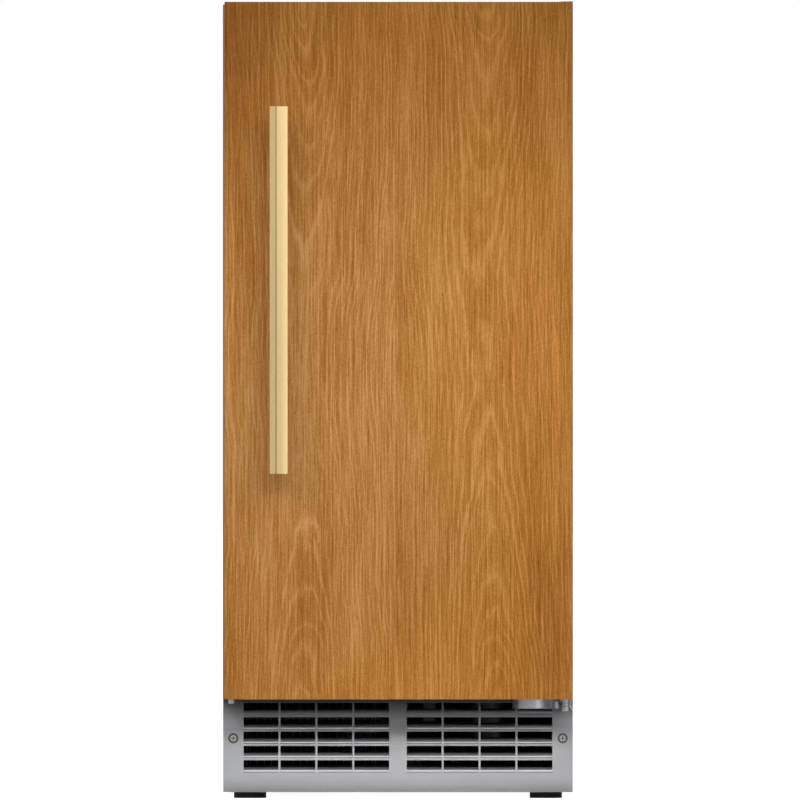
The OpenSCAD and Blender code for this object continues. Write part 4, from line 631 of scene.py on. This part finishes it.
class ICEMAKER_OT_cabinet(Operator):
    """Paint the outer panels and coat the pans inside"""
    bl_idname = "icemaker.cabinet"
    bl_label = "Cabinet"

    def execute(self, context):
        dress(powder_coat("cabinet_paint", finish_colour("cabinet")), "left_side_panel", "right_side_panel",
              "top_panel", "rear_panel", "service_panel")
        dress(galvanised("zinc_coat", finish_colour("zinc")), "base_pan", "bulkhead", "control_box")
        dress(rigid_foam("cabinet_foam", screen_colour(222, 205, 156)), "foam_insulation")
        return {"FINISHED"}


class ICEMAKER_OT_bin(Operator):
    """Finish the bin's liner, drain and sensor"""
    bl_idname = "icemaker.bin"
    bl_label = "Bin"

    def execute(self, context):
        dress(formed_liner("bin_liner", finish_colour("liner")), "inner_liner")
        dress(moulded("drain_moulding", finish_colour("white_part")), "bin_drain", "drain_outlet")
        dress(moulded("sensor_moulding", screen_colour(98, 102, 106), 0.5), "bin_thermistor")
        return {"FINISHED"}


class ICEMAKER_OT_door(Operator):
    """Finish the door's shell, liner and bushings"""
    bl_idname = "icemaker.door"
    bl_label = "Door"

    def execute(self, context):
        dress(smooth_paint("door_coat", finish_colour("door")), "door_shell")
        dress(formed_liner("door_liner_sheet", finish_colour("liner")), "door_liner")
        dress(moulded("bushing_moulding", finish_colour("white_part"), 0.35), "door_bushings")
        return {"FINISHED"}


class ICEMAKER_OT_seal(Operator):
    """Make the door seal with its folds in place of the plain ring"""
    bl_idname = "icemaker.seal"
    bl_label = "Door seal"

    def section(self, width, fold, near, far):
        """Points round the seal: how far in from the ring's outer edge, and y.

        A rounded square: the signed power 0.45 of cosine and sine. Its flanks fold in and out three times
        between door and magnet, as a raised cosine of the height in the section.
        """
        turn = np.linspace(0.0, 2.0 * np.pi, 72, endpoint=False)
        side, rise = (np.sign(wave) * np.abs(wave) ** 0.45 for wave in (np.cos(turn), np.sin(turn)))
        folded = 1.0 - fold * (0.5 - 0.5 * np.cos(3.0 * np.pi * (rise + 1.0))) * (np.abs(rise) < 0.97)
        return width / 2 * (1.0 + side * folded), (far + near) / 2 + (far - near) / 2 * rise

    def carried(self, ends):
        """Values at the four corners carried in straight lines along the four mitred sides.

        Extra stations stand close to each corner.
        """
        along = np.concatenate([[0.0, 0.0015], np.linspace(0.02, 0.98, 26), [0.9985]])[None, :, None]
        return (ends[:, None] * (1 - along) + np.roll(ends, -1, axis=0)[:, None] * along).reshape(-1, 2)

    def execute(self, context):
        sizes = context.scene.icemaker_sizes
        low, high = (np.array(corner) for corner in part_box("door_gasket"))
        inset, out = self.section(sizes.seal_width, sizes.seal_fold, low[1], high[1])
        corners = [(low[0], low[2]), (high[0], low[2]), (high[0], high[2]), (low[0], high[2])]
        path = self.carried(np.array(corners))
        inward = self.carried(np.array([(1.0, 1.0), (-1.0, 1.0), (-1.0, -1.0), (1.0, -1.0)]))
        across = path[:, None] + inward[:, None] * inset[None, :, None]
        points = np.stack([across[..., 0], np.broadcast_to(out, across.shape[:2]), across[..., 1]], axis=2)
        seal = surface_piece("door_seal", points.reshape(-1, 3), closed_grid(len(path), len(out)),
                             rubber("seal_rubber", finish_colour("seal"), 0.5), "door")
        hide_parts("door_gasket")
        return {"FINISHED"}


class ICEMAKER_OT_overlay(Operator):
    """Finish the overlay panel in plain-sliced oak"""
    bl_idname = "icemaker.overlay"
    bl_label = "Overlay panel"

    def execute(self, context):
        shades = (finish_colour(name) for name in ("oak_light", "oak_mid", "oak_dark", "oak_pore"))
        dress(plain_sliced_oak("lacquered_oak", *shades), "overlay_panel")
        return {"FINISHED"}


class ICEMAKER_OT_handle(Operator):
    """Finish the handle in satin brass"""
    bl_idname = "icemaker.handle"
    bl_label = "Handle"

    def execute(self, context):
        groove_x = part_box("handle_bar")[0][0] + GROOVE_FROM_LEFT
        dress(satin_brass("handle_brass", finish_colour("brass"), groove_x), "handle_bar", "handle_posts")
        return {"FINISHED"}


class ICEMAKER_OT_grille(Operator):
    """Finish the toe grille and its screws"""
    bl_idname = "icemaker.grille"
    bl_label = "Toe grille"

    def execute(self, context):
        steel = finish_colour("steel")
        dress(brushed_metal("grille_steel", tinted(steel, 1.32), (14.0, 900.0, 1900.0), 0.55, metallic=0.15,
                            painted_shade=grille_painted_shade, polished=louvre_polish), "toe_grille")
        dress(brushed_metal("grille_screw_steel", screen_colour(242, 238, 228), (400.0, 400.0, 400.0), 0.4,
                            metallic=0.3, painted_shade=screw_recess_painted_shade), "grille_screws")
        dress(brushed_metal("screw_steel", tinted(steel, 1.1), (400.0, 400.0, 400.0), 0.28), "hinge_screws",
              "hinge_hole_plug", "lower_hinge_pin")
        return {"FINISHED"}


class ICEMAKER_OT_hinges(Operator):
    """Finish the hinge brackets"""
    bl_idname = "icemaker.hinges"
    bl_label = "Hinges"

    def execute(self, context):
        steel = finish_colour("steel")
        dress(brushed_metal("lower_hinge_steel", tinted(steel, 1.35), (14.0, 900.0, 1700.0), 0.2, soil=0.02,
                            metallic=0.65), "lower_hinge_bracket")
        dress(brushed_metal("upper_hinge_steel", tinted(steel, 0.9), (14.0, 900.0, 1700.0), 0.34),
              "upper_hinge_bracket")
        return {"FINISHED"}


class ICEMAKER_OT_feet(Operator):
    """Finish the feet"""
    bl_idname = "icemaker.feet"
    bl_label = "Feet"

    def execute(self, context):
        dress(rubber("foot_rubber", screen_colour(34, 34, 35)), "foot_front_left", "foot_front_right",
              "foot_rear_left", "foot_rear_right")
        return {"FINISHED"}


class ICEMAKER_OT_controls(Operator):
    """Finish the control housing and its buttons"""
    bl_idname = "icemaker.controls"
    bl_label = "Controls"

    def execute(self, context):
        dress(moulded("control_moulding", finish_colour("white_part"), 0.38), "control_housing")
        dress(moulded("button_moulding", screen_colour(206, 208, 211), 0.24, grain=500.0), "power_button",
              "clean_button", "light_button")
        return {"FINISHED"}


class ICEMAKER_OT_ice_tray(Operator):
    """Finish the freezing plate, cutter grid and water pan"""
    bl_idname = "icemaker.ice_tray"
    bl_label = "Ice tray"

    def execute(self, context):
        steel = finish_colour("steel")
        dress(brushed_metal("freezing_plate_steel", steel, (1500.0, 12.0, 1500.0), 0.3), "evaporator_plate")
        dress(brushed_metal("cutter_wire_steel", tinted(steel, 0.9), (600.0, 600.0, 600.0), 0.3),
              "cutter_wires")
        dress(moulded("tray_moulding", finish_colour("white_part"), 0.36), "evaporator_rails",
              "water_distributor", "water_pan", "cutter_frame", "pump_motor")
        dress(moulded("impeller_moulding", screen_colour(96, 99, 103), 0.4), "pump_impeller")
        dress(vinyl_hose("clear_vinyl", screen_colour(226, 233, 236), 0.45), "pump_hose", "fill_tube")
        dress(vinyl_hose("grey_vinyl", screen_colour(176, 178, 180), 0.0), "drain_hose")
        return {"FINISHED"}


class ICEMAKER_OT_cooling(Operator):
    """Finish the compressor, condenser, fan and tubes"""
    bl_idname = "icemaker.cooling"
    bl_label = "Cooling unit"

    def execute(self, context):
        dress(enamel("compressor_enamel", screen_colour(34, 35, 37)), "compressor")
        dress(rubber("mount_rubber", screen_colour(30, 30, 31)), "compressor_mounts")
        dress(fin_pack("condenser_coat", screen_colour(104, 106, 109)), "condenser_fins")
        dress(enamel("tube_enamel", screen_colour(38, 39, 41)), "condenser_tubes")
        dress(drawn_tube("circuit_copper", finish_colour("copper")), "evaporator_coil", "filter_drier",
              "refrigerant_lines")
        dress(moulded("fan_moulding", screen_colour(44, 45, 47), 0.5), "fan_shroud", "fan_blade",
              "power_gland")
        dress(smooth_paint("motor_paint", screen_colour(120, 126, 132)), "fan_motor")
        dress(brushed_metal("valve_brass", screen_colour(214, 184, 120), (300.0, 300.0, 300.0), 0.32),
              "hot_gas_valve")
        dress(moulded("valve_moulding", screen_colour(208, 214, 224), 0.42), "water_inlet_valve")
        return {"FINISHED"}


def place_light(lamp, place, target):
    """Puts a lamp at a place, turned towards a target."""
    holder = bpy.data.objects.new(lamp.name, lamp)
    bpy.context.collection.objects.link(holder)
    holder.location = place
    heading = np.array(target, dtype=float) - np.array(place, dtype=float)
    pitch = math.atan2(math.hypot(heading[0], heading[1]), -heading[2])
    holder.rotation_euler = (pitch, 0.0, math.atan2(-heading[0], heading[1]))
    holder.visible_camera = False
    return holder


def soft_light(name, size, watts, place, target):
    """A soft rectangular lamp at a place, turned towards a target."""
    lamp = bpy.data.lights.new(name, "AREA")
    lamp.shape = "RECTANGLE"
    lamp.size, lamp.size_y = size
    lamp.energy = watts
    place_light(lamp, place, target)


def front_light(name, watts, raised, turned, middle, reach, softness):
    """A far lamp, raised and turned by angles, on a middle point; it fades out at its reach across and up."""
    level, up = math.cos(raised), math.sin(raised)
    away = np.array((math.sin(turned) * level, -math.cos(turned) * level, up))
    lamp = bpy.data.lights.new(name, "SPOT")
    lamp.energy = watts
    lamp.spot_size = 2 * math.atan(POOL_RADIUS / LAMP_DISTANCE)
    lamp.spot_blend = 1.0
    lamp.shadow_soft_size = softness
    holder = place_light(lamp, np.array(middle) + LAMP_DISTANCE * away, middle)
    holder.scale = (reach[0] / POOL_RADIUS * math.cos(turned), reach[1] / POOL_RADIUS * level, 1.0)
    holder.visible_glossy = False


def panels_across(recipe, turn):
    """Brightness of the mirrored near half by its turn from straight ahead.

    It is brightest a little to the right, and dark further round there.
    """
    left = recipe.spread(turn, -0.32, -0.2, 0.74, 0.86)
    ahead = recipe.total(left, recipe.spread(turn, 0.0, 0.1, 0.0, 0.36))
    return recipe.product(ahead, recipe.spread(turn, 0.34, 0.75, 1.0, 0.12))


class ICEMAKER_OT_stage(Operator):
    """Set the floor, the surroundings, the lights and the camera"""
    bl_idname = "icemaker.stage"
    bl_label = "Stage"

    def execute(self, context):
        stage = context.scene.icemaker_stage
        context.scene.view_settings.view_transform = "Standard"
        self.make_floor()
        self.make_surroundings(context.scene, stage.fill)
        self.make_lights(stage)
        self.make_camera(context.scene, stage)
        return {"FINISHED"}

    def make_floor(self):
        """A pale floor that shows white to the camera where it is lit, and keeps the shadow.

        Mirrored, it is darker beside the cabinet than far in front of it.
        """
        half = 60.0
        points = np.array([[-half, -half, 0.0], [half, -half, 0.0], [half, half, 0.0], [-half, half, 0.0]])
        mesh = bpy.data.meshes.new("floor")
        mesh.from_pydata(points.tolist(), [], [(0, 1, 2, 3)])
        recipe = Recipe("pale_floor")
        mirrored, seen = recipe.mirror_rays()
        drift = recipe.noise(recipe.place, 1.3, detail=3.0)
        pale = recipe.blend(drift, (0.25, 0.25, 0.25), (0.28, 0.28, 0.28))
        x, y = recipe.parts(recipe.place)[:2]
        turn = recipe.maths("DIVIDE", x, recipe.maths("MAXIMUM", recipe.product(y, -1.0), 0.3))
        forward = recipe.product(recipe.spread(y, -1.2, -3.5, 0.25, 0.85), panels_across(recipe, turn))
        glow = recipe.total(recipe.product(seen, 0.95), recipe.product(mirrored, forward))
        recipe.shade(Base_Color=recipe.blend(mirrored, pale, (0.14, 0.14, 0.14)), Roughness=0.9,
                     Specular_IOR_Level=0.1, Emission_Color=(1.0, 1.0, 1.0), Emission_Strength=glow)
        mesh.materials.append(recipe.material)
        floor = bpy.data.objects.new("floor", mesh)
        bpy.context.collection.objects.link(floor)

    def make_surroundings(self, scene, fill):
        """White where it is seen, a studio that mirrors show, and a weaker light on everything else.

        Mirrored, the far half is white. The near half is pale level with the cabinet, brighter at a slant
        above it, a little darker to the left and dim to the right. The light on matt surfaces grows from the
        front to the back. It is weak from the cabinet's level and below, strongest at a slant and weaker from
        straight above.
        """
        world = bpy.data.worlds.new("surroundings")
        scene.world = world
        sky = Recipe("surroundings", world)
        x, y, z = sky.parts(sky.nodes.new("ShaderNodeTexCoord").outputs["Generated"])[:3]
        slant = sky.product(sky.spread(z, 0.1, 0.5), sky.spread(z, 0.9, 0.66))
        near = sky.product(sky.total(0.78, sky.product(slant, 0.6)), panels_across(sky, x))
        studio = sky.number(sky.spread(y, 0.0, 0.5), near, 1.0)
        upward = sky.product(sky.spread(z, 0.0, 0.4, 0.3, 1.15), sky.spread(z, 0.6, 0.9, 1.0, 0.55))
        matt = sky.product(sky.spread(y, -0.6, 0.2, fill, 0.52), upward)
        mirrored, seen = sky.mirror_rays()
        sky.shade(Color=(1.0, 1.0, 1.0), Strength=sky.number(seen, sky.number(mirrored, matt, studio), 1.0))

    def make_lights(self, stage):
        """A fan of lamps for the door, one for the toe grille, panels for the handle, and side lights."""
        for count, turned in enumerate(KEY_TURNS):
            front_light("key_light", stage.key_watts / len(KEY_TURNS), KEY_RAISES[count % 2], turned,
                        KEY_MIDDLE, KEY_REACH, KEY_SOFTNESS)
        front_light("toe_light", stage.toe_watts, TOE_RAISE, 0.0, TOE_MIDDLE, TOE_REACH, TOE_SOFTNESS)
        for name, size, across, up in HANDLE_LIGHTS:
            soft_light(name, size, stage.strip_watts, (across, FACE_Y - HANDLE_LIGHT_DISTANCE, up),
                       (across, FACE_Y, up))
        for side in (-1.0, 1.0):
            soft_light("side_light", (1.4, 1.6), stage.side_watts, (side * 2.2, 1.4, 1.5), (0.0, 0.0, 0.45))
        soft_light("top_light", (1.4, 1.4), stage.side_watts * TOP_LIGHT_SHARE, (0.0, 0.9, 2.7),
                   (0.0, 0.0, 0.8))

    def make_camera(self, scene, stage):
        """A far camera, level and square to the front."""
        camera = bpy.data.cameras.new("front_camera")
        camera.sensor_width = SENSOR_WIDTH
        camera.lens = SENSOR_WIDTH * stage.camera_distance / stage.field_width
        camera.clip_end = 100.0
        holder = bpy.data.objects.new("front_camera", camera)
        bpy.context.collection.objects.link(holder)
        holder.location = (CAMERA_X, CAMERA_PLANE_Y - stage.camera_distance, CAMERA_Z)
        holder.rotation_euler = (math.pi / 2, 0.0, 0.0)
        scene.camera = holder


PARTS = (ICEMAKER_OT_cabinet, ICEMAKER_OT_bin, ICEMAKER_OT_door, ICEMAKER_OT_seal, ICEMAKER_OT_overlay,
         ICEMAKER_OT_handle, ICEMAKER_OT_grille, ICEMAKER_OT_hinges, ICEMAKER_OT_feet, ICEMAKER_OT_controls,
         ICEMAKER_OT_ice_tray, ICEMAKER_OT_cooling, ICEMAKER_OT_stage)


class ICEMAKER_PT_parts(Panel):
    """Lists the ice maker's dressing steps"""
    bl_label = "Ice maker"
    bl_idname = "ICEMAKER_PT_parts"
    bl_space_type = "VIEW_3D"
    bl_region_type = "UI"
    bl_category = "Ice maker"

    def draw(self, context):
        column = self.layout.column(align=True)
        for part in PARTS:
            column.operator(part.bl_idname)
        scene = context.scene
        for settings in (scene.icemaker_finishes, scene.icemaker_sizes, scene.icemaker_stage):
            box = self.layout.box()
            for name in settings.__annotations__:
                box.prop(settings, name)


CLASSES = (IcemakerFinishes, IcemakerSizes, IcemakerStage, *PARTS, ICEMAKER_PT_parts)


def register():
    """Registers the classes and gives every scene their settings."""
    for item in CLASSES:
        bpy.utils.register_class(item)
    bpy.types.Scene.icemaker_finishes = PointerProperty(type=IcemakerFinishes)
    bpy.types.Scene.icemaker_sizes = PointerProperty(type=IcemakerSizes)
    bpy.types.Scene.icemaker_stage = PointerProperty(type=IcemakerStage)


def unregister():
    """Takes the settings and the classes away again."""
    del bpy.types.Scene.icemaker_stage
    del bpy.types.Scene.icemaker_sizes
    del bpy.types.Scene.icemaker_finishes
    for item in reversed(CLASSES):
        bpy.utils.unregister_class(item)


def main():
    """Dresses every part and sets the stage."""
    register()
    for part in PARTS:
        group, name = part.bl_idname.split(".")
        getattr(getattr(bpy.ops, group), name)()


if __name__ == "__main__":
    main()
